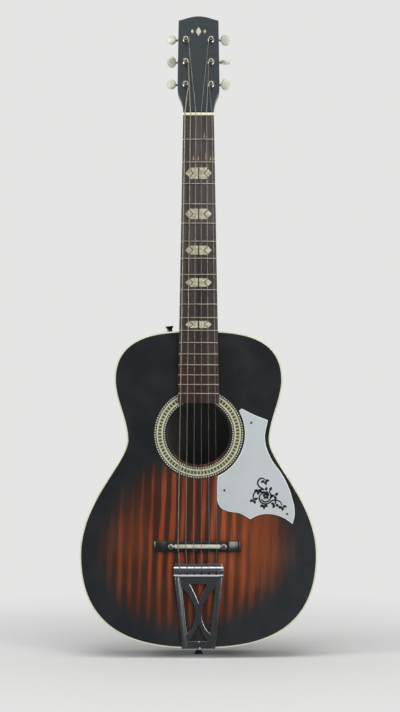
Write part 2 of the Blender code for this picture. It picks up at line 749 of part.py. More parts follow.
def make_bridge_bolts(steel):
    profile = [(BOLT_RADIUS, -BOLT_LENGTH), (BOLT_RADIUS, 0), (BOLT_HEAD_RADIUS, 0)]
    for angle in np.radians((0, 24, 48, 72)):
        radius, height = BOLT_HEAD_RADIUS * math.cos(angle), BOLT_DOME * math.sin(angle)
        profile.append((radius, BOLT_BRIM + height))
    reach, half = BOLT_HEAD_RADIUS + 0.001, BOLT_SLOT_WIDTH / 2
    for side in ("bass", "treble"):
        name = f"bridge_bolt_{side}"
        bolt = add_part(name, mesh_from(name, turned(profile, BOLT_SIDES)), steel)
        bolt.rotation_euler.x = math.pi / 2
        bolt.location = (BRIDGE_X + side_sign(side) * BOLT_X, FRONT_Y - BRIDGE_HEIGHT - GAP, BRIDGE_Z)
        slot = box((-reach, -half, BOLT_SLOT_FLOOR), (reach, half, BOLT_SLOT_FLOOR + BOLT_DOME))
        boolean(bolt, "DIFFERENCE", [add_cutter("screwdriver slot", slot, bolt)])


def frame_half_width(up):
    """Half the tailpiece frame's width, this far above the tail."""
    return FRAME_TAIL_HALF + (FRAME_BAR_HALF - FRAME_TAIL_HALF) * up / (BAR_LOW_Z - TAIL_Z)


def frame_outlines():
    """The frame's rim and its four cut-outs, in its own plane, heights from the tail."""
    bottom, top = -FRAME_LAP_TAIL, BAR_LOW_Z - TAIL_Z + FRAME_LAP_BAR
    low, high = frame_half_width(0), frame_half_width(top)
    rim = [(-low, bottom), (low, bottom), (high, top), (-high, top)]
    holes = [UPPER_CUT, LOWER_CUT]
    corners = [(frame_half_width(up) - RAIL_WIDTH, up, "corner") for up in SIDE_CUT_ENDS]
    arc = [(x, up, "smooth") for x, up in SIDE_CUT_ARC]
    for sign in (-1, 1):
        holes.append([(sign * x, up, kind) for x, up, kind in corners + arc])
    return [[(x, up, "line") for x, up in rim], *holes]


def make_tailpiece(chrome):
    rise = math.atan2(FRAME_CLEAR_BAR - FRAME_CLEAR_TAIL, BAR_LOW_Z - TAIL_Z)
    frame = meshed(plate_curve("tailpiece", frame_outlines(), SHEET))
    hinge = Matrix.Translation((0, FRONT_Y - FRAME_CLEAR_TAIL - SHEET / 2, TAIL_Z))
    frame.transform(hinge @ Matrix.Rotation(math.pi / 2 + rise, 4, "X"))
    tailpiece = add_part("tailpiece", mesh_from("tailpiece", frame), chrome)
    bar = add_cutter("tailpiece bar", bar_solid())
    hook = add_cutter("tailpiece hook", hook_solid())
    boolean(tailpiece, "UNION", [bar, hook])
    boolean(tailpiece, "DIFFERENCE", [end_pin_hole("tailpiece")])


def bar_solid():
    """The string bar: a base with a lip at its tail side and a roll that the strings bend over."""
    foot, floor = FRAME_CLEAR_BAR, FRAME_CLEAR_BAR + BAR_BASE
    lip_z = BAR_LOW_Z + LIP_THICKNESS
    arc = []
    for angle in np.linspace(-0.5, math.pi, 7):
        height = ROLL_HEIGHT - ROLL_RADIUS * (1 - math.sin(angle))
        arc.append((height, ROLL_Z + ROLL_RADIUS * math.cos(angle)))
    side = [(foot, BAR_LOW_Z), (foot, BAR_HIGH_Z - 0.001), *arc, (floor, ROLL_Z - ROLL_RADIUS)]
    side += [(floor, lip_z), (LIP_HEIGHT, lip_z), (LIP_HEIGHT, BAR_LOW_Z)]
    ends = (-BAR_WIDTH / 2, BAR_WIDTH / 2)
    return loft([[(x, FRONT_Y - height, z) for height, z in side] for x in ends])


def hook_solid():
    """The bend over the body's edge and the tab on its tail, which the end pin holds."""
    front, low, tab_y = FRONT_Y - FRAME_CLEAR_TAIL, TAIL_Z - GAP, FRONT_Y + TAB_LENGTH
    centre_y, centre_z = front + HOOK_BEND, low + HOOK_BEND
    inner, outer = [], []
    for angle in np.linspace(0, math.pi / 2, 4):
        for arc, radius in ((inner, HOOK_BEND), (outer, HOOK_BEND + SHEET)):
            arc.append((centre_y - radius * math.cos(angle), centre_z - radius * math.sin(angle)))
    lap_z, shave = TAIL_Z + HOOK_LAP, GAP / 2
    side = [(front - shave, lap_z), *inner, (tab_y, low), (tab_y, low - SHEET)]
    side += [*reversed(outer), (front - SHEET + shave, lap_z)]
    half = FRAME_TAIL_HALF - GAP
    return loft([[(x, y, z) for y, z in side] for x in (-half, half)])


def make_end_pin(black):
    flange = TAIL_Z - 2 * GAP - SHEET
    profile = [*END_PIN_PROFILE, (END_PIN_FLANGE, flange - 0.0008), (END_PIN_FLANGE, flange)]
    profile += [(END_PIN_STEM, flange), (END_PIN_STEM - 2 * GAP, END_PIN_STEM_END)]
    add_part("end_pin", mesh_from("end_pin", turned(profile, 20)), black)


def strap_button_matrix():
    """On the rim of the upper bout, its own Z out of the body."""
    outline = half_outline()
    upper = outline[outline[:, 1] > TAIL_Z + UPPER_BOUT[1]][::-1]
    reach, step = abs(STRAP_BUTTON_X), 0.004
    near, z, far = (
        float(np.interp(x, upper[:, 0], upper[:, 1])) for x in (reach - step, reach, reach + step)
    )
    slope = math.atan2(near - far, 2 * step)
    place = Matrix.Translation((STRAP_BUTTON_X, STRAP_BUTTON_Y, z))
    return place @ Matrix.Rotation(-slope, 4, "Y")


def strap_button_hole(name):
    start, end = (0, 0, 0.004), (0, 0, -STRAP_SCREW_LENGTH - 0.001)
    bm = cylinder(start, end, STRAP_SCREW_RADIUS + GAP, 10)
    bm.transform(strap_button_matrix())
    return add_cutter(f"strap button hole in {name}", bm)


def make_strap_button(black):
    screw = [(STRAP_SCREW_RADIUS - 2 * GAP, -STRAP_SCREW_LENGTH), (STRAP_SCREW_RADIUS, -0.014)]
    screw.append((STRAP_SCREW_RADIUS, STRAP_BUTTON_PROFILE[0][1]))
    solid = turned([*screw, *STRAP_BUTTON_PROFILE], 16)
    button = add_part("shoulder_strap_button", mesh_from("shoulder_strap_button", solid), black)
    button.matrix_world = strap_button_matrix()


def make_pickguard(white):
    low, high = (math.radians(a) for a in PICKGUARD_RIM_ANGLES)
    rim = []
    for angle in np.linspace(low, high, 12):
        x, z = PICKGUARD_RIM * math.cos(angle), HOLE_Z + PICKGUARD_RIM * math.sin(angle)
        rim.append((x, z, "corner"))
    curve = plate_curve("pickguard", [[*PICKGUARD, *rim]], PICKGUARD_THICKNESS)
    curve.resolution_u = 3
    pickguard = add_part("pickguard", curve, white)
    pickguard.rotation_euler.x = math.pi / 2
    pickguard.location.y = FRONT_Y - GAP - PICKGUARD_THICKNESS / 2


def key_mesh(side):
    """Shaft with its worm about the origin, and its button, in one skin along X."""
    sign = side_sign(side)
    ear = EAR_X + EAR_THICKNESS / 2 + GAP
    half = WORM_LENGTH / 2
    start, collar = BUTTON_START, KEY_COLLAR
    rings = [(-ear - 0.0016, KEY_TIP), (-ear - 0.0012, KEY_CAP), (-ear, KEY_CAP), (-ear, KEY_SHAFT)]
    rings.append((-half, KEY_SHAFT))
    rings += [(x, None) for x in np.linspace(-half, half, WORM_RINGS)]
    rings += [(half, KEY_SHAFT), (start - 0.0022, KEY_SHAFT)]
    rings += [(start - 0.0018, collar), (start + 0.0004, collar)]
    rows = [key_ring(sign * x, radius, radius) for x, radius in rings]
    long, tall, thick = BUTTON_SIZE
    for turn in np.radians(BUTTON_RINGS):
        x = start + long / 2 * (1 - math.cos(turn))
        up, out = tall / 2 * math.sin(turn), thick / 2 * math.sin(turn) ** BUTTON_BULGE
        rows.append(key_ring(sign * x, up, out))
    return mesh_from(f"tuner key {side}", loft(rows))


def key_ring(x, up, out):
    """A ring round the key's axis; with no radius it is the worm's thread there."""
    ring = []
    for i in range(KEY_SIDES):
        angle = 2 * math.pi * i / KEY_SIDES
        if up is None:
            wave = math.cos(angle - math.pi - 2 * math.pi * x / WORM_LEAD)
            reach = (WORM_CREST + WORM_ROOT) / 2 + (WORM_CREST - WORM_ROOT) / 2 * wave
            ring.append((x, reach * math.cos(angle), reach * math.sin(angle)))
        else:
            ring.append((x, up * math.cos(angle), out * math.sin(angle)))
    return ring


def gear_solid():
    """A gear about Z with a gap between two teeth at +Y."""
    root, tip = (GEAR_ROOT, TOOTH_ROOT), (GEAR_TIP, TOOTH_TIP)
    flanks = ((root, -1), (tip, -1), (tip, 1), (root, 1))
    points = []
    for tooth in range(TEETH):
        middle = math.pi / 2 + 2 * math.pi * (tooth + 0.5) / TEETH
        for (radius, half_angle), side in flanks:
            angle = middle + side * half_angle
            points.append((radius * math.cos(angle), radius * math.sin(angle)))
    low = -WORM_DEPTH - GEAR_THICKNESS / 2
    return loft([[(x, y, z) for x, y in points] for z in (low, low + GEAR_THICKNESS)])


def post_solid():
    """The post about Z from its screw, over its hub in the gear, to its grooved top."""
    gear_back = -WORM_DEPTH - GEAR_THICKNESS / 2
    shoulder = -HEAD_THICKNESS - STRIP_THICKNESS - 2 * GAP
    profile = [
        (GEAR_SCREW_RADIUS, gear_back - 0.0008),
        (GEAR_SCREW_RADIUS, gear_back + 0.001),
        (GEAR_HUB_RADIUS, gear_back + 0.001),
        (GEAR_HUB_RADIUS, shoulder),
        (POST_RADIUS, shoulder),
        (POST_RADIUS, 0.0010),
        (POST_WAIST, 0.0017),
        (POST_WAIST, POST_TOP - 0.0018),
        (POST_RADIUS, POST_TOP - 0.0012),
        (POST_RADIUS - 0.0004, POST_TOP),
    ]
    return turned(profile, POST_SIDES)


def make_tuners(metal, button, head):
    keys = {side: key_mesh(side) for side in KEY_REST}
    post_mesh = mesh_from("tuner post", post_solid())
    for side, rests in KEY_REST.items():
        for place, rest in enumerate(rests):
            x, height = side_sign(side) * TUNER_X, tuner_height(place)
            key = add_part(f"tuner_key_{side}_{place + 1}", keys[side], button, head)
            key.location = (x, height + AXES_APART, -WORM_DEPTH)
            key.rotation_euler.x = math.radians(rest)
            post = add_part(f"tuner_post_{side}_{place + 1}", post_mesh, metal, head)
            post.location = (x, height, 0)
            post.rotation_euler.z = math.radians(rest) / TEETH
            hole_height = POST_TOP - POST_HOLE_DEPTH
            hole = cylinder((0, -0.006, hole_height), (0, 0.006, hole_height), POST_HOLE, 6)
            boolean(post, "UNION", [add_cutter("gear", gear_solid(), post)])
            boolean(post, "DIFFERENCE", [add_cutter("string hole", hole, post)])
        make_tuner_plate(side, metal, head)


def make_tuner_plate(side, metal, head):
    """A strip behind the head with two bent ears to carry each key's shaft."""
    middle, face = side_sign(side) * TUNER_X, -HEAD_THICKNESS - GAP
    low, high = tuner_height(0) - STRIP_BELOW, tuner_height(TUNERS_PER_SIDE - 1) + STRIP_ABOVE
    half = STRIP_WIDTH / 2
    strip = box((middle - half, low, face - STRIP_THICKNESS), (middle + half, high, face))
    plate = add_part(f"tuner_plate_{side}", mesh_from(f"tuner_plate_{side}", strip), metal, head)
    ears, holes = [], []
    ear_back, ear_front = -WORM_DEPTH - EAR_HEIGHT / 2 + 2 * GAP, face - STRIP_THICKNESS / 2
    for place in range(TUNERS_PER_SIDE):
        height = tuner_height(place)
        worm = height + AXES_APART
        for x in (middle - EAR_X, middle + EAR_X):
            near, far = x - EAR_THICKNESS / 2, x + EAR_THICKNESS / 2
            ear = box((near, worm - EAR_HEIGHT / 2, ear_back), (far, worm + EAR_HEIGHT / 2, ear_front))
            ears.append(add_cutter("ear", ear, head))
        start, end = ((middle + reach, worm, -WORM_DEPTH) for reach in (-half, half))
        holes.append(add_cutter("shaft hole", cylinder(start, end, KEY_SHAFT + GAP, KEY_SIDES), head))
        start, end = (middle, height, 0), (middle, height, -WORM_DEPTH)
        holes.append(add_cutter("post hole", cylinder(start, end, POST_RADIUS + 2 * GAP, POST_SIDES), head))
    boolean(plate, "UNION", ears)
    boolean(plate, "DIFFERENCE", holes)


def string_route(number):
    """The string's middle line: from the tailpiece over the roll, saddle and nut and round its post."""
    lift = (STRING_DIAMETERS[number] + GAP) / 2
    side, place = STRING_POSTS[number]
    bar_x = string_x(number, STRINGS_AT_BAR, BRIDGE_X / 2)
    saddle_x = string_x(number, STRINGS_AT_SADDLE, BRIDGE_X)
    nut_x = string_x(number, STRINGS_AT_NUT)
    roll_y = FRONT_Y - ROLL_HEIGHT - lift - GAP / 2
    points = [
        Vector((bar_x, FRONT_Y - STRING_END_HEIGHT, BAR_LOW_Z + STRING_END_UP)),
        Vector((bar_x, roll_y, ROLL_Z - ROLL_RADIUS / 2)),
        Vector((bar_x, roll_y, ROLL_Z + ROLL_RADIUS / 2)),
        Vector((saddle_x, SADDLE_TOP_Y - lift, SADDLE_Z)),
        Vector((nut_x, NUT_SLOT_Y - lift, NUT_Z)),
        Vector((nut_x, NUT_SLOT_Y - lift, NUT_Z + NUT_THICKNESS)),
    ]
    return points + post_wraps(number, points[-1], side_sign(side) * TUNER_X, tuner_height(place))


def post_wraps(number, nut_point, post_x, post_height):
    """Turns round the post, entered on its inner side and climbing from the head's face."""
    radius = STRING_DIAMETERS[number] / 2
    reach = POST_WAIST + WRAP_CLEARANCE + radius
    spin = 1 if post_x < 0 else -1
    start = head_matrix().inverted() @ nut_point
    to_post = Vector((post_x, post_height)) - start.xy
    heading = math.atan2(to_post.y, to_post.x) - spin * math.asin(reach / to_post.length)
    first = heading - spin * math.pi / 2
    turns = WRAP_TURNS[number]
    climb = STRING_DIAMETERS[number] + WRAP_GAP
    matrix = head_matrix()
    wraps = []
    for i in range(int(turns * WRAP_POINTS) + 1):
        share = i / WRAP_POINTS
        angle = first + spin * 2 * math.pi * share
        across, up = post_x + reach * math.cos(angle), post_height + reach * math.sin(angle)
        wraps.append(matrix @ Vector((across, up, WRAP_START + radius + climb * share)))
    return wraps


def least_gap(points, diameter):
    """The least space between stretches of one string that aren't next to each other."""
    places = np.array([tuple(point) for point in points])
    apart = np.linalg.norm(places[:, None] - places[None, :], axis=2)
    index = np.arange(len(places))
    apart[np.abs(index[:, None] - index[None, :]) < WRAP_POINTS // 2] = np.inf
    return apart.min() - diameter


def make_strings(steel, bronze):
    for number, diameter in enumerate(STRING_DIAMETERS):
        points = string_route(number)
        curve = bpy.data.curves.new(f"string_{number + 1}", "CURVE")
        curve.dimensions = "3D"
        curve.bevel_depth = diameter / 2
        curve.bevel_resolution = 1
        curve.use_fill_caps = True
        spline = curve.splines.new("POLY")
        spline.points.add(len(points) - 1)
        for spot, point in zip(spline.points, points):
            spot.co = (*point, 1)
        add_part(f"string_{number + 1}", curve, bronze if number < 4 else steel)
        print(f"string_{number + 1}: least gap to itself {1000 * least_gap(points, diameter):.2f} mm")


def main():
    black = paint("black lacquer", (0.012, 0.015, 0.018), 0.25)
    spruce = paint("bare inner wood", (0.45, 0.28, 0.14), 0.7)
    rosewood = paint("dark fretboard wood", (0.075, 0.03, 0.028), 0.45)
    cream = paint("cream trim", (0.62, 0.60, 0.38), 0.4)
    ivory = paint("ivory nut", (0.80, 0.74, 0.48), 0.4)
    bone = paint("off-white saddle", (0.62, 0.66, 0.55), 0.4)
    chrome = paint("chromed tailpiece", (0.55, 0.57, 0.60), 0.15, 1.0)
    steel = paint("string and bolt steel", (0.55, 0.55, 0.54), 0.3, 1.0)
    bronze = paint("wound string", (0.50, 0.40, 0.30), 0.35, 1.0)
    fret_wire = paint("fret wire", (0.60, 0.52, 0.46), 0.3, 1.0)
    white = paint("pale pickguard", (0.55, 0.59, 0.62), 0.3)
    button = paint("pale tuner buttons", (0.70, 0.70, 0.64), 0.35)

    head = bpy.data.objects.new("head frame", None)
    PARTS.objects.link(head)
    head.matrix_world = head_matrix()
    mortise = add_cutter("dovetail mortise", dovetail(GAP))

    make_soundboard(black)
    make_rosette(cream)
    make_binding(cream)
    make_rib("bass", black, mortise)
    make_rib("treble", black, mortise)
    make_back(black)
    make_blocks(spruce, mortise)
    make_braces(spruce)
    make_neck(black, head)
    make_fretboard(rosewood)
    make_frets(fret_wire)
    make_nut(ivory)
    make_bridge(black, bone)
    make_bridge_bolts(steel)
    make_tailpiece(chrome)
    make_end_pin(black)
    make_strap_button(black)
    make_pickguard(white)
    make_tuners(steel, button, head)
    make_strings(steel, bronze)


clear_scene()
PARTS = new_collection("guitar")
CUTTERS = new_collection("cutters")
main()
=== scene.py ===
import json
import math
from functools import reduce

import bmesh
import bpy
import numpy as np
from mathutils import Matrix, Vector
from mathutils.geometry import interpolate_bezier


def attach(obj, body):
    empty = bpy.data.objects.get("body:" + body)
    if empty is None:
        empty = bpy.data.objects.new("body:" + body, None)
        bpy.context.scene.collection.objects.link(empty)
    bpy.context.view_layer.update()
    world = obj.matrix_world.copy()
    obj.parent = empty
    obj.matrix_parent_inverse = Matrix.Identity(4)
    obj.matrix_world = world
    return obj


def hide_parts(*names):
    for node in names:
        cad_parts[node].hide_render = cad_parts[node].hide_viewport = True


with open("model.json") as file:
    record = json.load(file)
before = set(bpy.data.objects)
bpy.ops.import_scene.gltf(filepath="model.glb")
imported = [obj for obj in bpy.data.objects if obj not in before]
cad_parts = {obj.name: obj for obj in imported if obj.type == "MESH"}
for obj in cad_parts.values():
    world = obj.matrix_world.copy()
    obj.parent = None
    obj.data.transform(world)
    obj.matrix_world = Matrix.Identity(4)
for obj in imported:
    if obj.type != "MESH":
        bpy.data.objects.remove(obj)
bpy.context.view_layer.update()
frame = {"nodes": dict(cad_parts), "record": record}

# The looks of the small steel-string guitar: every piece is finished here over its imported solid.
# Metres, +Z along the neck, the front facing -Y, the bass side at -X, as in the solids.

GAP = 0.0002


def mm(*points):
    """Points in metres, of points given in millimetres."""
    return [tuple(0.001 * value for value in point) for point in points]


# Body, as its solids have it
TAIL_Z = 0.014
BODY_LENGTH = 0.455
FRONT_Y = -0.046
TAIL_DEPTH = 0.092
HEEL_DEPTH = 0.082
LOWER_BOUT = (0.1702, 0.1335)
WAIST = (0.1026, 0.2990)
UPPER_BOUT = (0.1206, 0.3850)
TOP_THICKNESS = 0.003
BACK_THICKNESS = 0.0026
BACK_ARCH = 0.0045
BACK_EASE = 0.0006
BACK_CELL = 0.012
BACK_CUTS_X, BACK_CUTS_Z = (-0.162, 0.163), (0.02, 0.47)
RIB_THICKNESS = 0.0025
LINING = (0.011, 0.005, 0.07)  # depth, width, and the kerfs' share of a block
BINDING_WIDTH = 0.002
FINE_EASE = 0.00015
BODY_MIDDLE_Z = 0.2
OUTLINE_CURVES = (  # how each curve of the outline leaves its start and meets its end, and its steps
    ((0.051, 0), (0, -0.133), 48),
    ((0, 0.078), (0, -0.032), 44),
    ((0, 0.028), (0, -0.028), 32),
    ((0, 0.0725), (0.040, 0), 40),
)
HOLE_Z = 0.3217
HOLE_RADIUS = 0.045
ROSETTE_INNER = 0.0482
ROSETTE_OUTER = 0.0653
ROSETTE_THICKNESS = 0.0009
ROSETTE_PROUD = 0.00005
RING_SIDES = 144

# Scale, fretboard and neck
SCALE_LENGTH = 0.616
FRETS = 18
NECK_END_Z = TAIL_Z + BODY_LENGTH
NUT_Z = NECK_END_Z + SCALE_LENGTH / 2
SADDLE_Z = NECK_END_Z - SCALE_LENGTH / 2
BOARD_END_Z = 0.3653
BOARD_NUT_WIDTH = 0.0441
BOARD_END_WIDTH = 0.0591
BOARD_BACK_Y = FRONT_Y - GAP
BOARD_FRONT_Y = BOARD_BACK_Y - 0.0055
BOARD_EASE = 0.0007
BOARD_END_BEVEL = 0.0004
FRET_SLOT_WIDTH = 0.0006
FRET_SLOT_DEPTH = 0.0023
FRET_INSET = 0.0003
FRET_WIDTH = 0.0024
FRET_HEIGHT = 0.0010
FRET_ENDS = ((0, 0.08), (0.0003, 0.55), (0.0009, 1.0))  # in from the end, and share of the height there
FRET_TANG = (0.0004, 0.0021)  # thickness and depth
NUT_THICKNESS = 0.0048
NUT_TOP_Y = BOARD_FRONT_Y - 0.0023
NUT_SLOT_Y = BOARD_FRONT_Y - 0.0015
HEAD_TILT = math.radians(14)
HEAD_ORIGIN = Vector((0, FRONT_Y - 0.0015, NUT_Z + NUT_THICKNESS + 0.0008))
HEAD_THICKNESS = 0.015
HEAD_HALF = (
    (0.0220, 0.0, "corner"),
    (0.0222, 0.0060, "smooth"),
    (0.0247, 0.0170, "smooth"),
    (0.0295, 0.0300, "smooth"),
    (0.0300, 0.0370, "smooth"),
    (0.0289, 0.1405, "corner"),
)
HEAD_PEAK = 0.1472
HEAD_EASE = 0.0007
NECK_PROFILE = np.array((  # height, depth behind the fretboard, fullness of the back's curve
    (0.4690, 0.0795, 1.60),
    (0.4850, 0.0785, 1.60),
    (0.4905, 0.0640, 1.70),
    (0.4980, 0.0490, 1.80),
    (0.5090, 0.0370, 1.90),
    (0.5250, 0.0290, 2.00),
    (0.5500, 0.0245, 2.10),
    (0.6600, 0.0195, 2.20),
    (0.7650, 0.0158, 2.20),
))
NECK_INTO_HEAD = (  # up the head, half width, how far behind its face, depth, fullness
    (0.002, 0.0214, 0.0012, 0.0165, 2.2),
    (0.022, 0.0200, 0.0016, 0.0120, 2.2),
)

# Bridge and tailpiece
BRIDGE_X = -0.0015
BRIDGE_Z = 0.1603
BRIDGE_WIDTH = 0.1248
BRIDGE_REACH = 0.0154
BRIDGE_MIDDLE = 0.0908
BRIDGE_HEIGHT = 0.0085
BRIDGE_EASE = 0.0009
WING_HEIGHT = 0.0034
WING_STRIP = 0.004
WING_EASE = 0.0004
WING_STEP = (0.0010, 0.0012)
SADDLE_WIDTH = 0.066
SADDLE_THICKNESS = 0.0056
SADDLE_SEAT = 0.0040
SADDLE_ENDS = ((-1, 0.55), (-0.985, 0.86), (-0.955, 1))  # shares of half the width, and of the thickness
SADDLE_TOP_Y = FRONT_Y - 0.0120
BOLT_X = 0.0378
BOLT_TURNS = {"bass": -48, "treble": 62}
BOLT_LENGTH = 0.0185
SCREWS = {  # radius, brim, dome, the slot's share of the radius, depth below the brim
    "bolt": (0.0044, 0.0008, 0.0016, 0.26, 0.0006),
    "tab": (0.0026, 0.0003, 0.0009, 0.3, 0.0),
    "gear": (0.0022, 0.0003, 0.0006, 0.28, 0.0),
    "plate": (0.0023, 0.0002, 0.0008, 0.28, 0.0),
}
BAR_LOW_Z = 0.1170
BAR_HIGH_Z = 0.1312
BAR_WIDTH = 0.0706
FRAME_TAIL_HALF = 0.02375
FRAME_BAR_HALF = 0.0350
RAIL_WIDTH = 0.0095
SHEET = 0.0014
FRAME_FOOT = -0.0005
FRAME_UNDER_BAR = 0.003
FRAME_CLEAR_TAIL = 0.0012
FRAME_CLEAR_BAR = 0.0034
UPPER_CUT = (
    (-0.0122, 0.0922, "corner"),
    (0.0122, 0.0922, "corner"),
    (0.0047, 0.0778, "smooth"),
    (0.0, 0.0658, "corner"),
    (-0.0047, 0.0778, "smooth"),
)
LOWER_CUT = (
    (0.0, 0.0335, "corner"),
    (0.0054, 0.0228, "smooth"),
    (0.0123, 0.0108, "corner"),
    (-0.0123, 0.0108, "corner"),
    (-0.0054, 0.0228, "smooth"),
)
SIDE_CUT_ENDS = (0.0220, 0.0875)
SIDE_CUT_ARC = ((0.0118, 0.0730), (0.0047, 0.0500), (0.0098, 0.0295))
ROLL_RADIUS = 0.0024
ROLL_Z = BAR_HIGH_Z - ROLL_RADIUS
ROLL_HEIGHT = 0.0086
HOOK_BEND = 0.0014
HOOK_RISE = 0.006
TAB_LENGTH = 0.066

# Strap buttons
END_PIN_PROFILE = mm(
    (6.2, 0), (6.8, 0.8), (6.8, 2.2), (5.2, 3.8), (4.6, 6), (5, 8.8), (6.4, 11.4), (6.4, 12.2)
)
STRAP_BUTTON_X = -0.0415
STRAP_BUTTON_Y = -0.004
STRAP_BUTTON_PROFILE = mm((4.2, 0.2), (3.6, 2.2), (3.8, 4.9), (5.6, 6.7), (6, 7.5), (5.6, 8.5))

# Tuners
SIDES = {"bass": -1, "treble": 1}
TUNER_X = 0.0179
TUNER_FIRST = 0.0410
TUNER_STEP = 0.0345
TEETH = 14
GEAR_PITCH = 0.0056
GEAR_TIP = 0.0061
GEAR_ROOT = 0.0044
TOOTH_TIP = math.radians(2.8)
TOOTH_ROOT = math.radians(8.4)
GEAR_THICKNESS = 0.0028
WORM_CREST = 0.0034
WORM_ROOT = 0.0021
WORM_LENGTH = 0.0092
WORM_DEPTH = 0.0204
WORM_LEAD = 2 * math.pi * GEAR_PITCH / TEETH
AXES_APART = GEAR_PITCH + 0.0029
KEY_SHAFT = 0.0016
BUTTON_START = 0.0143
BUTTON_SIZE = (0.0138, 0.0172, 0.0060)
EAR_X = 0.0066
EAR_THICKNESS = 0.0012
EAR_REACH = 0.0040
STRIP_THICKNESS = 0.0012
STRIP_WIDTH = 0.0170
STRIP_BELOW = 0.0135
STRIP_ABOVE = 0.0215
POST_RADIUS = 0.0030
POST_WAIST = 0.0025
POST_TOP = 0.0080
POST_HOLE_Z = POST_TOP - 0.0019
DIMPLE_RADIUS = 0.0018
KEY_REST = {"bass": (-22, 42, -22), "treble": (0, 100, 30)}

# Strings, from bass to treble
STRING_DIAMETERS = (0.00135, 0.00107, 0.00081, 0.00061, 0.00041, 0.00030)
STRING_WIRES = ("string_wound",) * 2 + ("string_wound_fine",) * 2 + ("string_plain",) * 2
STRINGS_AT_NUT = 0.0385
STRINGS_AT_SADDLE = 0.0556
STRINGS_AT_BAR = 0.0521
STRING_POSTS = (("bass", 0), ("bass", 1), ("bass", 2), ("treble", 2), ("treble", 1), ("treble", 0))
WRAP_START = 0.0020
WRAP_GAP = 0.00045
WRAP_POINTS = 30
WRAP_TURNS = (1.4, 1.8, 2.2, 2.6, 3.0, 3.2)

# Pickguard
PICKGUARD_THICKNESS = 0.002
PICKGUARD_FRONT_Y = FRONT_Y - GAP - PICKGUARD_THICKNESS
PICKGUARD = (
    (0.0616, 0.3578, "corner"),
    (0.0795, 0.3489, "smooth"),
    (0.0993, 0.3412, "corner"),
    (0.0952, 0.3140, "smooth"),
    (0.1026, 0.2889, "smooth"),
    (0.1222, 0.2593, "smooth"),
    (0.1341, 0.2296, "smooth"),
    (0.1377, 0.2058, "smooth"),
    (0.1347, 0.1924, "corner"),
    (0.1195, 0.2022, "smooth"),
    (0.1009, 0.2067, "smooth"),
    (0.0860, 0.2049, "smooth"),
    (0.0741, 0.1992, "corner"),
    (0.0600, 0.2072, "smooth"),
    (0.0400, 0.2114, "smooth"),
    (0.0300, 0.2180, "smooth"),
    (0.0266, 0.2391, "smooth"),
)
PICKGUARD_RIM = 0.0664
PICKGUARD_RIM_ANGLES = (-65.5, 29.5)
PRINT_PROUD = 0.00004
PICKGUARD_PINS = ((0.0755, 0.3374), (0.0370, 0.2408), (0.1268, 0.2070))


# Materials


def add_node(tree, kind, inputs=None, **settings):
    made = tree.nodes.new("ShaderNode" + kind)
    for key, value in settings.items():
        setattr(made, key, value)
    for socket, value in (inputs or {}).items():
        value = getattr(value, "socket", value)
        if isinstance(value, bpy.types.NodeSocket):
            tree.links.new(value, made.inputs[socket])
        else:
            made.inputs[socket].default_value = value
    return made


class Value:
    """A number that a material works out from place to place."""

    def __init__(self, tree, socket):
        self.tree, self.socket = tree, socket

    def math(self, operation, second=0.0, third=0.0):
        made = add_node(self.tree, "Math", {0: self, 1: second, 2: third}, operation=operation)
        return Value(self.tree, made.outputs[0])

    def __add__(self, other):
        return self.math("ADD", other)

    def __sub__(self, other):
        return self.math("SUBTRACT", other)

    def __mul__(self, other):
        return self.math("MULTIPLY", other)

    def __truediv__(self, other):
        return self.math("DIVIDE", other)

    def __abs__(self):
        return self.math("ABSOLUTE")

    def at_least(self, other):
        return self.math("MAXIMUM", other)

    def at_most(self, other):
        return self.math("MINIMUM", other)

    def beside(self, other):
        """How far from zero this and another are together, as across and up."""
        return (self * self + other * other).math("SQRT")

    def spread(self, low, high, start=0.0, end=1.0):
        """Eases from start at low to end at high."""
        inputs = {"Value": self, "From Min": low, "From Max": high, "To Min": start, "To Max": end}
        made = add_node(self.tree, "MapRange", inputs, interpolation_type="SMOOTHSTEP")
        return Value(self.tree, made.outputs[0])

    def band(self, low, high, edge=0.00012):
        """1 between low and high, 0 outside."""
        return self.spread(low - edge, low + edge) * self.spread(high - edge, high + edge, 1.0, 0.0)

    def stripes(self, pitch, phase=0.0):
        """A smooth wave between 0 and 1."""
        turn = self.math("MULTIPLY_ADD", 2 * math.pi / pitch, phase)
        return turn.math("COSINE").math("MULTIPLY_ADD", 0.5, 0.5)


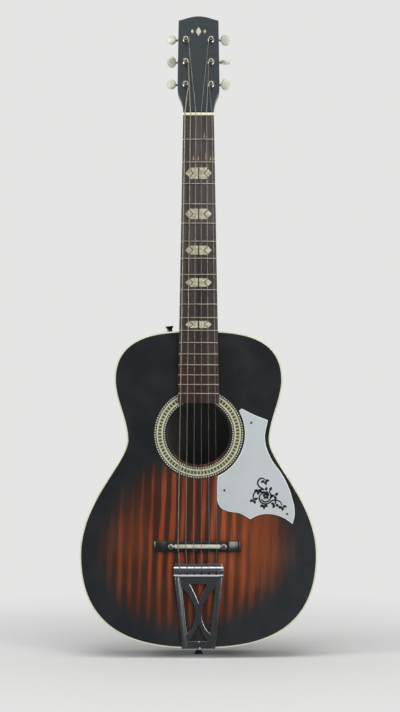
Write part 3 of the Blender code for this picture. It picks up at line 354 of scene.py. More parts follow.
class Finish:
    """A material, with x, y and z in metres."""

    def __init__(self, name, colour, roughness, metallic=0.0, sockets=None):
        self.name = name
        self.material = bpy.data.materials.new(name)
        self.material.use_nodes = True
        self.tree = self.material.node_tree
        self.shader = self.tree.nodes["Principled BSDF"]
        values = {"Base Color": (*colour, 1), "Roughness": roughness, "Metallic": metallic}
        for socket, value in {**values, **(sockets or {})}.items():
            self.shader.inputs[socket].default_value = value
        self.material.diffuse_color = (*colour, 1)
        self.place = add_node(self.tree, "TexCoord").outputs["Object"]
        split = add_node(self.tree, "SeparateXYZ", {"Vector": self.place})
        self.x, self.y, self.z = (Value(self.tree, socket) for socket in split.outputs)

    def noise(self, scale, stretch=(1, 1, 1), detail=3.0):
        """Noise between 0 and 1, with this many features a metre along each stretched axis."""
        place = add_node(self.tree, "VectorMath", {0: self.place, 1: stretch}, operation="MULTIPLY")
        inputs = {"Vector": place.outputs[0], "Scale": scale, "Detail": detail}
        made = add_node(self.tree, "TexNoise", inputs)
        return Value(self.tree, made.outputs["Fac"])

    def mix(self, share, first, second):
        """A colour between two, each a socket or an (r, g, b)."""
        first, second = (c if isinstance(c, bpy.types.NodeSocket) else (*c, 1) for c in (first, second))
        return add_node(self.tree, "Mix", {0: share, 6: first, 7: second}, data_type="RGBA").outputs[2]

    def link(self, socket, value):
        self.tree.links.new(getattr(value, "socket", value), self.shader.inputs[socket])

    def done(self, colour, roughness, relief, depth, strength=1.0):
        """The finish with its colour, its roughness and a relief this many metres deep."""
        self.link("Base Color", colour)
        self.link("Roughness", roughness)
        bump = add_node(self.tree, "Bump", {"Height": relief, "Distance": depth, "Strength": strength})
        self.link("Normal", bump.outputs["Normal"])
        return self


BLACK = (0.0115, 0.0142, 0.0165)
# A lighter black, painted in as sheen on the lacquer.
SHEEN_PAINTED_BLACK = (0.0205, 0.0245, 0.0280)
LACQUER = {"Coat Weight": 0.4, "Coat Roughness": 0.12}
BURST_X = -0.0043
BURST_Z = 0.1477
BURST_HALF = 0.1300
BURST_ABOVE = 0.1430
BURST_BELOW = 0.1040
BURST_CORNERS = (0.12, 0.15)  # how much the upper bass and the lower treble corner hold the burst back
BURST_LIT = (1.16, 0.80)  # share of the burst's reach at which it is black, and fully lit
STRIPE_PITCH = 0.0148
STRIPE_START = -0.1120
STRIPE_LEAN = 0.040
STRIPE_LEVEL_Z = 0.1763
STRIPE_DARK = (0.050, 0.0145, 0.0062)
STRIPE_LIGHT = (0.375, 0.0720, 0.0150)
STRIPE_BRIGHT = (0.41, 0.092, 0.021)
STRIPE_RED = (0.350, 0.0580, 0.0145)
STRIPE_GAP = (0.112, 0.0330, 0.0115)
STRIPE_DULL = (0.182, 0.0425, 0.0125)
STRIPE_DULL_GAP = (0.062, 0.019, 0.008)
BURST_GLOW = (0.290, 0.064, 0.0155)


def burst_reach(f):
    """How far out of the burst a place is: 0 in its middle, about 1 where it turns black."""
    across = (f.x - BURST_X) / BURST_HALF
    rise = f.z - BURST_Z
    above = rise.at_least(0.0) / BURST_ABOVE
    below = rise.at_most(0.0) / BURST_BELOW
    upper, lower = BURST_CORNERS
    corner = across.at_most(0.0) * above * -upper + across.at_least(0.0) * below * -lower
    uneven = (f.noise(14, (1, 1, 0.5)) - 0.5) * 0.16
    combed = (f.noise(120, (1, 1, 0.10), 2) - 0.5) * 0.16
    return across.beside(above + below) + corner + uneven + combed


def soundboard_finish():
    """Black lacquer that opens into a striped red-brown middle, strongest between the bouts' middles, with
    a painted sheen that lightens the black towards the tail and the treble side.
    """
    f = Finish("soundboard_finish", BLACK, 0.34, sockets=LACQUER)
    reach = burst_reach(f)
    wander = (f.noise(26, (1, 1, 0.22), 2) - 0.5) * 0.009
    along = f.x + (f.z - STRIPE_LEVEL_Z) * -STRIPE_LEAN + wander
    wave = along.stripes(STRIPE_PITCH, -2 * math.pi * STRIPE_START / STRIPE_PITCH)
    ragged = f.noise(150, (1, 1, 0.08), 4) - 0.5
    widths = (f.noise(34, (1, 1, 0.10), 1) - 0.5) * 1.1
    narrow = f.z.spread(0.150, 0.235, 0.12, 0.56) * f.x.spread(0.012, 0.034, 1.0, 0.35)
    streak = (wave + ragged + widths).spread(narrow, 1.15)
    even = abs(f.x + 0.005).spread(0.055, 0.105, 0.0, 0.60).at_least(f.z.spread(0.135, 0.075, 0.0, 0.8))
    bright = f.x.spread(0.012, 0.034) * f.z.spread(0.080, 0.108)
    left = f.x.spread(-0.058, -0.085, 0.0, 0.65) * f.z.band(0.142, 0.205, 0.02)
    gap = f.mix(bright.at_least(left), STRIPE_DARK, STRIPE_GAP)
    light = f.mix(f.noise(48, (1, 1, 0.35), 2).spread(0.35, 0.65), STRIPE_LIGHT, STRIPE_RED)
    light = f.mix(bright * 0.5, light, STRIPE_BRIGHT)
    streak = f.mix(even, f.mix(streak, gap, light), f.mix(streak, STRIPE_DULL_GAP, STRIPE_DULL))
    glow = bright * f.x.spread(0.05, 0.085) * f.z.spread(0.085, 0.150, 0.2, 0.75)
    wood = f.mix(glow.at_least(left * 0.3), streak, BURST_GLOW)
    wood = f.mix(f.noise(620, (1, 1, 0.03), 2).spread(0.3, 0.7, 0.0, 0.45), wood, STRIPE_DARK)
    wood = f.mix(reach.spread(0.35, 1.1, 0.0, 0.40), wood, STRIPE_DARK)
    # Painted sheen: the black is lightened towards the tail and the treble side.
    painted_sheen = f.z.spread(0.30, 0.10) * f.x.spread(-0.16, 0.15, 0.35, 1.0)
    colour = f.mix(reach.spread(*BURST_LIT), f.mix(painted_sheen, BLACK, SHEEN_PAINTED_BLACK), wood)
    gloss = f.noise(35).spread(0.3, 0.75, 0.29, 0.42)
    return f.done(colour, gloss, f.noise(420, (1, 1, 0.15), 2), 0.00003)


def lacquer(name, warm, sockets=None):
    """Black gloss with a little dust and wear, warm where the colour under it shows through."""
    f = Finish(name, BLACK, 0.3, sockets={**LACQUER, **(sockets or {})})
    colour = f.mix(f.noise(9).spread(0.42, 0.8, 0.0, 0.8), BLACK, warm)
    rubbed = f.noise(230, (0.15, 1, 1), 5) * f.noise(7)
    return f.done(colour, rubbed.spread(0.12, 0.4, 0.26, 0.44), f.noise(300, detail=2), 0.00002)


def back_lacquer():
    """The same black with a deep red-brown middle, as the front has."""
    f = Finish("back_lacquer", BLACK, 0.3, sockets=LACQUER)
    reach = (f.x / 0.155).beside((f.z - 0.19) / 0.22)
    uneven = (f.noise(12, (1, 1, 0.4)) - 0.5) * 0.25
    grain = f.noise(260, (1, 1, 0.03), 4).spread(0.35, 0.7)
    wood = f.mix(grain, (0.028, 0.011, 0.008), (0.075, 0.022, 0.011))
    colour = f.mix((reach + uneven).spread(1.05, 0.45), BLACK, wood)
    gloss = f.noise(30).spread(0.3, 0.75, 0.27, 0.42)
    return f.done(colour, gloss, f.noise(420, (1, 1, 0.15), 2), 0.00003)


def aged(name, colour, shade, scale, roughness=0.35):
    """Cream or white plastic, yellowed in patches and with a fine dirt speckle."""
    f = Finish(name, colour, roughness)
    patches = f.noise(scale).spread(0.35, 0.75, 0.0, 0.75)
    specks = f.noise(scale * 22, detail=1).spread(0.72, 0.82, 0.0, 0.5)
    tint = f.mix(specks, f.mix(patches, colour, shade), tuple(0.45 * c for c in shade))
    gloss = f.noise(scale * 3).spread(0.3, 0.7, roughness - 0.08, roughness + 0.12)
    return f.done(tint, gloss, f.noise(scale * 12, detail=2), 0.00002)


BLOCKS_ROUND = 72
BLOCK_BAND = (0.0535, 0.0584)
BLOCK_ENDS = ((0.0532, 0.0542), (0.0577, 0.0587))
INLAY_X = 0.0003
INLAY_RIMS = ((0.0487, 0.0485), (0.0633, 0.0635))
CHECK_ROWS = (  # checks round the ring, the row's edges, and the edges of the black line beside it
    (90, (0.0486, 0.0500), (0.0500, 0.0513)),
    (110, (0.0619, 0.0634), (0.0606, 0.0619)),
)
INLAY_CREAM = (0.55, 0.56, 0.40)
INLAY_SHADE = (0.48, 0.47, 0.31)
INLAY_BAND = (0.43, 0.42, 0.25)
INLAY_BLOCK = (0.040, 0.043, 0.016)
INLAY_CHECK = (0.70, 0.71, 0.58)
INLAY_BLACK = (0.011, 0.012, 0.012)


def rosette_inlay():
    """Cream rings round a band of dark blocks, with a row of checks and a black line at each edge."""
    f = Finish("rosette_inlay", (0.55, 0.55, 0.40), 0.35, sockets=LACQUER)
    up, along = f.z - HOLE_Z, f.x - INLAY_X
    radius, angle = along.beside(up), along.math("ARCTAN2", up)
    wave = angle.stripes(2 * math.pi / BLOCKS_ROUND)
    low_end, high_end = (radius.band(*edges, 0.0002) for edges in BLOCK_ENDS)
    notch = wave.spread(0.88, 0.98, 0.0, 0.3) * low_end.at_least(high_end)
    band = radius.band(*BLOCK_BAND)
    worn = f.noise(260, detail=2).spread(0.3, 0.7, 0.88, 1.0)
    dark = (wave.spread(0.24, 0.38) - notch) * worn * band
    inlay = f.mix(band, f.mix(f.noise(40).spread(0.35, 0.7), INLAY_CREAM, INLAY_SHADE), INLAY_BAND)
    inlay = f.mix(dark, inlay, INLAY_BLOCK)
    inner, outer = (radius.spread(*rim) for rim in INLAY_RIMS)
    black = inner.at_least(outer)
    for count, row, line in CHECK_ROWS:
        inlay = f.mix(radius.band(*row), inlay, INLAY_CHECK)
        checks = angle.stripes(2 * math.pi / count).spread(0.62, 0.48) * radius.band(*row)
        black = black.at_least(checks).at_least(radius.band(*line))
    gloss = f.noise(60).spread(0.3, 0.7, 0.28, 0.42)
    return f.done(f.mix(black, inlay, INLAY_BLACK), gloss, dark.at_least(black), 0.00004, 0.4)


def bare_wood(name, light, dark):
    """Unfinished wood: growth lines up the body and short pores."""
    f = Finish(name, light, 0.75)
    wavy = f.x + f.noise(12, (1, 1, 0.3), 2) * 0.012
    lines = wavy.stripes(0.0026) * f.noise(60, (1, 1, 0.05), 2)
    pores = f.noise(900, (1, 1, 0.06), 2).spread(0.55, 0.8, 0.0, 0.5)
    colour = f.mix(pores, f.mix(lines, light, dark), dark)
    return f.done(colour, f.noise(80).spread(0.3, 0.7, 0.65, 0.85), pores, 0.0001, 0.5)


WORN_SPOTS = (  # across, height, half width and half height of the places that fingers have worn pale
    (0.0085, 0.7475, 0.0010, 0.0075),
    (-0.0074, 0.7152, 0.0017, 0.0055),
    (-0.0005, 0.7152, 0.0011, 0.0055),
    (0.0172, 0.7150, 0.0012, 0.0060),
    (0.0218, 0.7145, 0.0010, 0.0045),
    (0.0100, 0.7180, 0.0008, 0.0090),
)
WORN_PALE = (0.50, 0.30, 0.17)


def worn_spot(f, x, z, width, height):
    """A flame, cut off below and narrowing upwards."""
    up = (f.z - z) / height
    across = (f.x - x) / width * up.math("MULTIPLY_ADD", 0.9, 1.0)
    return (across * across + up * up).spread(1.0, 0.0, 0.0, 0.95) * up.spread(-0.45, -0.35)


def fretboard_wood():
    """Dark reddish board with long pores, greyer towards the nut, worn pale above the low frets."""
    f = Finish("fretboard_wood", (0.045, 0.026, 0.022), 0.5, sockets={"Specular IOR Level": 0.42})
    streaks = f.noise(170, (1, 1, 0.03), 4).spread(0.3, 0.7)
    wood = f.mix(streaks, (0.018, 0.0075, 0.0060), (0.050, 0.020, 0.0160))
    dusk = f.mix(streaks, (0.017, 0.0132, 0.0118), (0.044, 0.0355, 0.0320))
    grey = f.mix(streaks, (0.038, 0.032, 0.029), (0.088, 0.073, 0.066))
    patchy = f.z + f.noise(30) * 0.1
    wood = f.mix(patchy.spread(0.45, 0.54), wood, f.mix(patchy.spread(0.50, 0.74), dusk, grey))
    pale = reduce(Value.at_least, (worn_spot(f, *spot) for spot in WORN_SPOTS))
    pale = pale * f.noise(700, (1, 1, 0.15)).spread(0.25, 0.55)
    gloss = f.noise(90, (1, 1, 0.1)).spread(0.3, 0.7, 0.40, 0.60)
    return f.done(f.mix(pale, wood, WORN_PALE), gloss, f.noise(1100, (1, 1, 0.03), 2), 0.00008, 0.6)


def dyed_wood():
    """The bridge's black dye, thin enough to show the pores, duller where hands touch it."""
    coat = {"Coat Weight": 0.5, "Coat Roughness": 0.27}
    f = Finish("bridge_wood", (0.013, 0.014, 0.016), 0.26, sockets=coat)
    pores = f.noise(700, (0.05, 1, 1), 3).spread(0.5, 0.75)
    colour = f.mix(pores, (0.011, 0.013, 0.015), (0.022, 0.020, 0.019))
    return f.done(colour, f.noise(120).spread(0.3, 0.7, 0.27, 0.34), pores, 0.00002, 0.08)


def metal(name, colour, roughness, tarnish, scale=400, share=0.6):
    """Plated metal with fine wear and cloudy tarnish."""
    f = Finish(name, colour, roughness, metallic=1.0)
    clouds = f.noise(scale * 0.35).spread(0.4, 0.8, 0.0, share)
    pits = f.noise(scale * 4, detail=1).spread(0.68, 0.8, 0.0, share)
    gloss = f.noise(scale).spread(0.3, 0.7, roughness * 0.75, roughness * 1.5)
    shade = f.mix(clouds.at_least(pits), colour, tarnish)
    return f.done(shade, gloss, f.noise(scale * 2, detail=2), 0.00001, 0.5)


def brushed(name, colour, roughness, stretch):
    """Plated metal rubbed one way, so that its gloss varies in long fine streaks."""
    f = Finish(name, colour, roughness, metallic=1.0)
    rubbed = f.noise(900, stretch, 2)
    shade = f.mix(rubbed.spread(0.35, 0.7, 0.0, 0.6), colour, tuple(0.8 * c for c in colour))
    return f.done(shade, rubbed.spread(0.3, 0.7, roughness * 0.9, roughness * 1.15), rubbed, 0.00001, 0.3)


SILK_END_Z = 0.1448
SILK = (0.17, 0.085, 0.085)
# The strings are painted darker and greyer over the soundhole, between these two heights.
STRING_OVER_HOLE = (0.13, 0.13, 0.128)
OVER_HOLE_FROM, OVER_HOLE_TO = 0.277, 0.366
WINDING_PITCH = 0.00045


def string_finish(name, light, dull, turn=0.45):
    """Wire with dull oxide, wound unless the turns' share is 0, its tail end wrapped in silk; the winding
    wave paints shade between the turns.
    """
    f = Finish(name, light, 0.36, metallic=1.0)
    turns = (f.z + f.x * 0.3).stripes(WINDING_PITCH)
    shade = f.mix(f.noise(120).spread(0.35, 0.7, 0.0, 0.8), light, dull)
    # Painted shade in the grooves between the turns.
    wire = f.mix(turns * turn, shade, tuple(0.25 * c for c in light))
    # Darker and greyer over the soundhole.
    wire = f.mix(f.z.band(OVER_HOLE_FROM, OVER_HOLE_TO, 0.004) * 0.7, wire, STRING_OVER_HOLE)
    silk = f.z.spread(SILK_END_Z + 0.0003, SILK_END_Z - 0.0003)
    f.link("Metallic", silk * -1.0 + 1.0)
    gloss = f.noise(300).spread(0.3, 0.7, 0.30, 0.46).at_least(silk * 0.7)
    return f.done(f.mix(silk, wire, SILK), gloss, turns, 0.00006, max(turn, 0.1))


def pickguard_plastic():
    """Pale grey-white plastic with faint swirls and pick scratches."""
    f = Finish("pickguard_plastic", (0.485, 0.525, 0.545), 0.32)
    swirl = f.noise(16, (1, 1, 0.7), 5).spread(0.35, 0.7, 0.0, 0.6)
    colour = f.mix(swirl, (0.50, 0.54, 0.56), (0.44, 0.48, 0.505))
    scratches = f.noise(260, (1, 1, 0.07), 4).spread(0.62, 0.75)
    gloss = scratches.at_least(f.noise(20)).spread(0.4, 0.9, 0.28, 0.46)
    return f.done(colour, gloss, scratches, 0.00001, 0.6)


def pearl():
    """Cream inlay with the soft bands of imitation pearl."""
    f = Finish("marker_pearl", (0.55, 0.52, 0.36), 0.3, sockets={"Coat Weight": 0.3, "Coat Roughness": 0.2})
    bands = f.noise(260, (1, 1, 2.2), 3).spread(0.35, 0.68)
    colour = f.mix(bands, (0.36, 0.33, 0.22), (0.66, 0.64, 0.47))
    return f.done(colour, f.noise(300).spread(0.3, 0.7, 0.24, 0.42), bands, 0.00002, 0.4)


def dark_plastic(name, colour, roughness):
    """Black moulded plastic, scuffed grey in patches."""
    f = Finish(name, colour, roughness)
    scuffs = f.noise(420, detail=5).spread(0.55, 0.75, 0.0, 0.6)
    shade = f.mix(scuffs, colour, tuple(c + 0.035 for c in colour))
    gloss = scuffs.spread(0.0, 1.0, roughness, roughness + 0.25)
    return f.done(shade, gloss, f.noise(900, detail=2), 0.00002, 0.5)


STEEL_SHADE = (0.20, 0.17, 0.14)
FINISHES = {finish.name: finish for finish in (
    soundboard_finish(),
    lacquer("body_lacquer", (0.020, 0.013, 0.012)),
    back_lacquer(),
    lacquer("neck_lacquer", (0.010, 0.019, 0.024), {"Specular Tint": (0.80, 0.95, 1.0, 1)}),
    aged("binding_cream", (0.68, 0.70, 0.54), (0.55, 0.54, 0.37), 38),
    rosette_inlay(),
    bare_wood("inner_wood", (0.26, 0.12, 0.055), (0.11, 0.040, 0.018)),
    # The back's inner face: bare wood painted darker and greyer, as painted shade inside the body.
    bare_wood("inner_shade", (0.088, 0.083, 0.080), (0.048, 0.050, 0.050)),
    fretboard_wood(),
    metal("fret_wire", (0.35, 0.30, 0.24), 0.34, (0.20, 0.16, 0.12)),
    aged("nut_ivory", (0.93, 0.86, 0.64), (0.84, 0.74, 0.52), 90),
    dyed_wood(),
    aged("saddle_white", (0.56, 0.57, 0.48), (0.40, 0.39, 0.29), 110),
    metal("bolt_steel", (0.36, 0.34, 0.31), 0.38, STEEL_SHADE),
    metal("pin_steel", (0.085, 0.095, 0.080), 0.40, (0.03, 0.03, 0.025)),
    metal("tailpiece_chrome", (0.66, 0.69, 0.73), 0.13, (0.40, 0.42, 0.44), 90, 0.3),
    brushed("tailpiece_rail", (0.45, 0.48, 0.49), 0.27, (1, 1, 0.02)),
    brushed("tailpiece_wall", (0.50, 0.53, 0.56), 0.34, (0.02, 1, 1)),
    # The cut edges and bevels: a darker copy of the chrome, painted shade that dims their highlights.
    metal("tailpiece_edge", (0.25, 0.247, 0.237), 0.24, (0.4, 0.4, 0.38), 200, 0.2),
    dark_plastic("strap_button_black", (0.014, 0.014, 0.016), 0.28),
    pickguard_plastic(),
    aged("pickguard_rim", (0.80, 0.82, 0.82), (0.66, 0.69, 0.69), 60, 0.3),
    dark_plastic("pickguard_ink", (0.008, 0.009, 0.012), 0.35),
    pearl(),
    string_finish("string_wound", (0.47, 0.43, 0.34), (0.30, 0.27, 0.21)),
    string_finish("string_wound_fine", (0.36, 0.35, 0.32), (0.22, 0.21, 0.19)),
    string_finish("string_plain", (0.52, 0.52, 0.49), (0.36, 0.34, 0.31), 0.0),
    metal("tuner_metal", (0.60, 0.59, 0.56), 0.26, STEEL_SHADE),
    aged("tuner_button_plastic", (0.74, 0.74, 0.65), (0.56, 0.54, 0.42), 70, 0.3),
    metal("gear_brass", (0.52, 0.36, 0.18), 0.32, (0.20, 0.12, 0.06)),
    metal("ball_end", (0.07, 0.028, 0.026), 0.45, (0.03, 0.015, 0.015)),
    # The dimple in a post's top, painted dark as shade in the recess.
    metal("post_dimple", (0.11, 0.080, 0.045), 0.5, (0.04, 0.03, 0.02)),
)}
RECORD_SLOTS = {material["slot"] for material in frame["record"]["materials"]}


# Shapes


def placed(name, data):
    """A new object in the scene."""
    made = bpy.data.objects.new(name, data)
    bpy.context.scene.collection.objects.link(made)
    return made


def shift(x, y, z):
    return Matrix.Translation((x, y, z))


def spin(degrees, axis):
    return Matrix.Rotation(math.radians(degrees), 4, axis)


def around(count):
    """Angles evenly spaced round a circle."""
    return [2 * math.pi * i / count for i in range(count)]


def add_piece(name, mesh, finishes, body="body", instead_of=(), slot=None):
    """One shown piece, in its finish, riding on its body."""
    finishes = [finishes] if isinstance(finishes, str) else finishes
    piece = placed(name, mesh)
    for finish in finishes:
        mesh.materials.append(FINISHES[finish].material)
    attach(piece, body)
    if instead_of:
        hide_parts(*instead_of)
    slot = slot or finishes[0]
    slot in RECORD_SLOTS
    return piece


def mesh_of(bm, angle=35):
    """The mesh of a closed form, smooth except across edges sharper than this."""
    bmesh.ops.remove_doubles(bm, verts=bm.verts, dist=1e-7)
    bmesh.ops.recalc_face_normals(bm, faces=bm.faces)
    mesh = bpy.data.meshes.new("form")
    bm.to_mesh(mesh)
    bm.free()
    mesh.shade_smooth()
    mesh.set_sharp_from_angle(angle=math.radians(angle))
    return mesh


def joined(forms):
    """One form of several."""
    whole = bmesh.new()
    for form in forms:
        part = bpy.data.meshes.new("part")
        form.to_mesh(part)
        form.free()
        whole.from_mesh(part)
        bpy.data.meshes.remove(part)
    return whole


def loft(rings, closed_run=False):
    """A skin over rings of equally many points, capped unless the run closes on itself."""
    bm = bmesh.new()
    rows = [[bm.verts.new(point) for point in ring] for ring in rings]
    following = rows[1:] + rows[:1] if closed_run else rows[1:]
    for row, after in zip(rows, following):
        for i in range(len(row)):
            j = (i + 1) % len(row)
            bm.faces.new((row[i], row[j], after[j], after[i]))
    if not closed_run:
        bm.faces.new(rows[0])
        bm.faces.new(rows[-1])
    return bm


def rounded(points, passes=2):
    """An open run of points with its corners cut, its ends kept."""
    points = [Vector(point) for point in points]
    for _ in range(passes):
        cut = [points[0]]
        for a, b in zip(points, points[1:]):
            cut += [a.lerp(b, 0.25), a.lerp(b, 0.75)]
        points = cut + [points[-1]]
    return [tuple(point) for point in points]


def turned(profile, sides=32):
    """A solid turned round Z from (radius, height) pairs, bottom to top."""
    return loft([[(r * math.cos(a), r * math.sin(a), z) for a in around(sides)] for r, z in profile])


def turned_ring(profile, sides):
    """A ring round Z with a closed section of (radius, height) pairs."""
    rings = [[(r * math.cos(a), r * math.sin(a), z) for r, z in profile] for a in around(sides)]
    return loft(rings, closed_run=True)


def eased_side(back, front, reach, ease):
    """(y, reach) points of a bar's side, from its back to its flat front, with the corner eased."""
    corner = 0.3 * ease
    return [(back, reach), (front + ease, reach), (front + corner, reach - corner), (front, reach - ease)]


def bevelled_box(low, high, edge, segments=2):
    bm = bmesh.new()
    low, high = Vector(low), Vector(high)
    size = Matrix.Diagonal((*(high - low), 1))
    bmesh.ops.create_cube(bm, size=1, matrix=Matrix.Translation((low + high) / 2) @ size)
    bmesh.ops.bevel(bm, geom=bm.edges, offset=edge, segments=segments, profile=0.5, affect="EDGES")
    return bm


def tube(points, radius, sides=10):
    """A round tube along a run of points, carried without twist."""
    points = [Vector(point) for point in points]
    runs = [(b - a).normalized() for a, b in zip(points, points[1:])]
    side = runs[0].orthogonal().normalized()
    rings = []
    for i, point in enumerate(points):
        run = (runs[max(i - 1, 0)] + runs[min(i, len(runs) - 1)]).normalized()
        side = (side - run * side.dot(run)).normalized()
        other = run.cross(side)
        rings.append([point + radius * (math.cos(a) * side + math.sin(a) * other) for a in around(sides)])
    return loft(rings)


def circle(radius, up):
    """An outline round a middle this far up."""
    return [(radius * math.cos(a), up + radius * math.sin(a), "line") for a in around(RING_SIDES)]


def plate(outlines, thickness, edge=0.0002, steps=10):
    """A flat plate in XY with eased edges; its first outline is the rim and the others are holes."""
    curve = bpy.data.curves.new("plate", "CURVE")
    curve.dimensions = "2D"
    curve.fill_mode = "BOTH"
    curve.extrude = thickness / 2 - edge
    curve.bevel_depth = edge
    curve.bevel_resolution = 1
    curve.offset = -edge
    curve.resolution_u = steps
    for outline in outlines:
        straight = all(kind == "line" for _, _, kind in outline)
        spline = curve.splines.new("POLY" if straight else "BEZIER")
        spline.use_cyclic_u = True
        points = spline.points if straight else spline.bezier_points
        points.add(len(outline) - 1)
        for point, (x, y, kind) in zip(points, outline):
            point.co = (x, y, 0, 1) if straight else (x, y, 0)
            if not straight:
                point.handle_left_type = point.handle_right_type = "AUTO" if kind == "smooth" else "VECTOR"
    guide = placed("plate", curve)
    mesh = bpy.data.meshes.new_from_object(guide.evaluated_get(bpy.context.evaluated_depsgraph_get()))
    bpy.data.objects.remove(guide)
    bm = bmesh.new()
    bm.from_mesh(mesh)
    bpy.data.meshes.remove(mesh)
    bmesh.ops.remove_doubles(bm, verts=bm.verts, dist=1e-6)
    return bm


def flat_mesh(bm, axis=1):
    """The mesh of a plate whose two broad faces, square to this axis, stay flat beside eased edges."""
    mesh = mesh_of(bm, 40)
    for face in mesh.polygons:
        if abs(face.normal[axis]) > 0.999:
            face.use_smooth = False
    return mesh


def stand_up(bm, y):
    """Turns a plate made in XY to face the front, its middle at this depth."""
    bm.transform(shift(0, y, 0) @ spin(90, "X"))
    return bm


# Body


def half_outline(inset=0.0):
    """(x, z) points of the body's treble side, tail to neck, this far inside the binding's outer edge."""
    knots = [Vector(knot) for knot in ((0, 0), LOWER_BOUT, WAIST, UPPER_BOUT, (0, BODY_LENGTH))]
    points = []
    for start, end, (leave, arrive, steps) in zip(knots, knots[1:], OUTLINE_CURVES):
        points += interpolate_bezier(start, start + Vector(leave), end + Vector(arrive), end, steps)[:-1]
    points = np.array([tuple(point) for point in points] + [(0, BODY_LENGTH)]) + (0, TAIL_Z)
    run = np.gradient(points, axis=0)
    run[0], run[-1] = (1, 0), (-1, 0)
    inward = np.stack([-run[:, 1], run[:, 0]], axis=1) / np.linalg.norm(run, axis=1)[:, None]
    return points + inset * inward


OUTLINE = half_outline()
SHOULDER = OUTLINE[OUTLINE[:, 1] > TAIL_Z + UPPER_BOUT[1]][::-1]


def shoulder_z(x):
    """The height of the body's upper edge this far across."""
    return float(np.interp(abs(x), SHOULDER[:, 0], SHOULDER[:, 1]))


def full_outline(inset=0.0):
    half = half_outline(inset)
    return [(x, z, "line") for x, z in np.concatenate([half, half[-2:0:-1] * (-1, 1)])]


def back_y(x, z):
    """The back's outer face, which leans in towards the neck and is gently arched."""
    along = min(max((z - TAIL_Z) / BODY_LENGTH, 0), 1)
    half = max(np.interp(z, OUTLINE[:, 1], OUTLINE[:, 0]), 1e-4)
    crown = max(1 - (x / half) ** 2, 0) * math.sin(math.pi * along)
    return FRONT_Y + TAIL_DEPTH - along * (TAIL_DEPTH - HEEL_DEPTH) + BACK_ARCH * crown


def make_soundboard():
    """The top, lacquered outside, with bare wood inside and round the hole."""
    outlines = [full_outline(BINDING_WIDTH + GAP), circle(HOLE_RADIUS, HOLE_Z)]
    mesh = flat_mesh(stand_up(plate(outlines, TOP_THICKNESS, FINE_EASE), FRONT_Y + TOP_THICKNESS / 2))
    for face in mesh.polygons:
        in_hole = math.hypot(face.center.x, face.center.z - HOLE_Z) < HOLE_RADIUS + 0.0001
        face.material_index = int(face.normal.y > -0.5 and (in_hole or face.normal.y > 0.5))
    add_piece("soundboard_burst", mesh, ["soundboard_finish", "inner_wood"], instead_of=["soundboard"])


def make_rosette():
    rings = [circle(radius, HOLE_Z) for radius in (ROSETTE_OUTER, ROSETTE_INNER)]
    middle = FRONT_Y - ROSETTE_PROUD + ROSETTE_THICKNESS / 2
    mesh = flat_mesh(stand_up(plate(rings, ROSETTE_THICKNESS, 0.00003), middle))
    add_piece("rosette_ring", mesh, "rosette_inlay", instead_of=["rosette"])


def make_binding():
    """A strip let in round the soundboard, with a rounded outer edge."""
    section = [(0, TOP_THICKNESS), *mm((0, 0.7), (0.1, 0.4), (0.3, 0.15), (0.7, 0))]
    section += [(BINDING_WIDTH, 0), (BINDING_WIDTH, TOP_THICKNESS)]
    runs = []
    for inset, y in section:
        runs.append([(x, FRONT_Y + y, z) for x, z, _ in full_outline(inset)])
    mesh = mesh_of(loft(list(zip(*runs)), closed_run=True), 50)
    add_piece("binding_strip", mesh, "binding_cream", instead_of=["top_binding"])


def make_rib(side):
    """One side of the body, bent round half of its outline, lacquered outside."""
    sign = SIDES[side]
    front = FRONT_Y + TOP_THICKNESS + GAP
    rings = []
    for (x1, z1), (x2, z2) in zip(OUTLINE, half_outline(RIB_THICKNESS)):
        x1, x2 = max(x1, GAP / 2), max(x2, GAP / 2)
        outer, inner = (back_y(x, z) - BACK_THICKNESS - GAP for x, z in ((x1, z1), (x2, z2)))
        middle1, middle2 = (front + outer) / 2, (front + inner) / 2
        ring = [(x1, front, z1), (x2, front, z2), (x2, middle2, z2), (x2, inner, z2), (x1, outer, z1)]
        rings.append([(sign * x, y, z) for x, y, z in [*ring, (x1, middle1, z1)]])
    mesh = mesh_of(loft(rings))
    for face in mesh.polygons:
        outwards = Vector((face.center.x, 0, face.center.z - BODY_MIDDLE_Z))
        face.material_index = int(abs(face.normal.y) < 0.5 and face.normal.dot(outwards) < 0)
    add_piece(f"{side}_side", mesh, ["body_lacquer", "inner_wood"], instead_of=[f"{side}_rib"])


def make_back():
    """A plate cut into small cells, so that it can follow the back's arch."""
    bm = plate([full_outline()], BACK_THICKNESS, BACK_EASE)
    cells = [((x, 0, 0), (1, 0, 0)) for x in np.arange(*BACK_CUTS_X, BACK_CELL)]
    cells += [((0, z, 0), (0, 1, 0)) for z in np.arange(*BACK_CUTS_Z, BACK_CELL)]
    for point, normal in cells:
        geometry = [*bm.verts, *bm.edges, *bm.faces]
        bmesh.ops.bisect_plane(bm, geom=geometry, dist=1e-6, plane_co=point, plane_no=normal)
    stand_up(bm, 0)
    for vertex in bm.verts:
        vertex.co.y += back_y(vertex.co.x, vertex.co.z) - BACK_THICKNESS / 2
    mesh = mesh_of(bm, 50)
    for face in mesh.polygons:
        # Faces that look into the body take the painted shade.
        face.material_index = int(face.normal.y < -0.7)
    add_piece("back_plate", mesh, ["back_lacquer", "inner_shade"], instead_of=["back"], slot="body_lacquer")


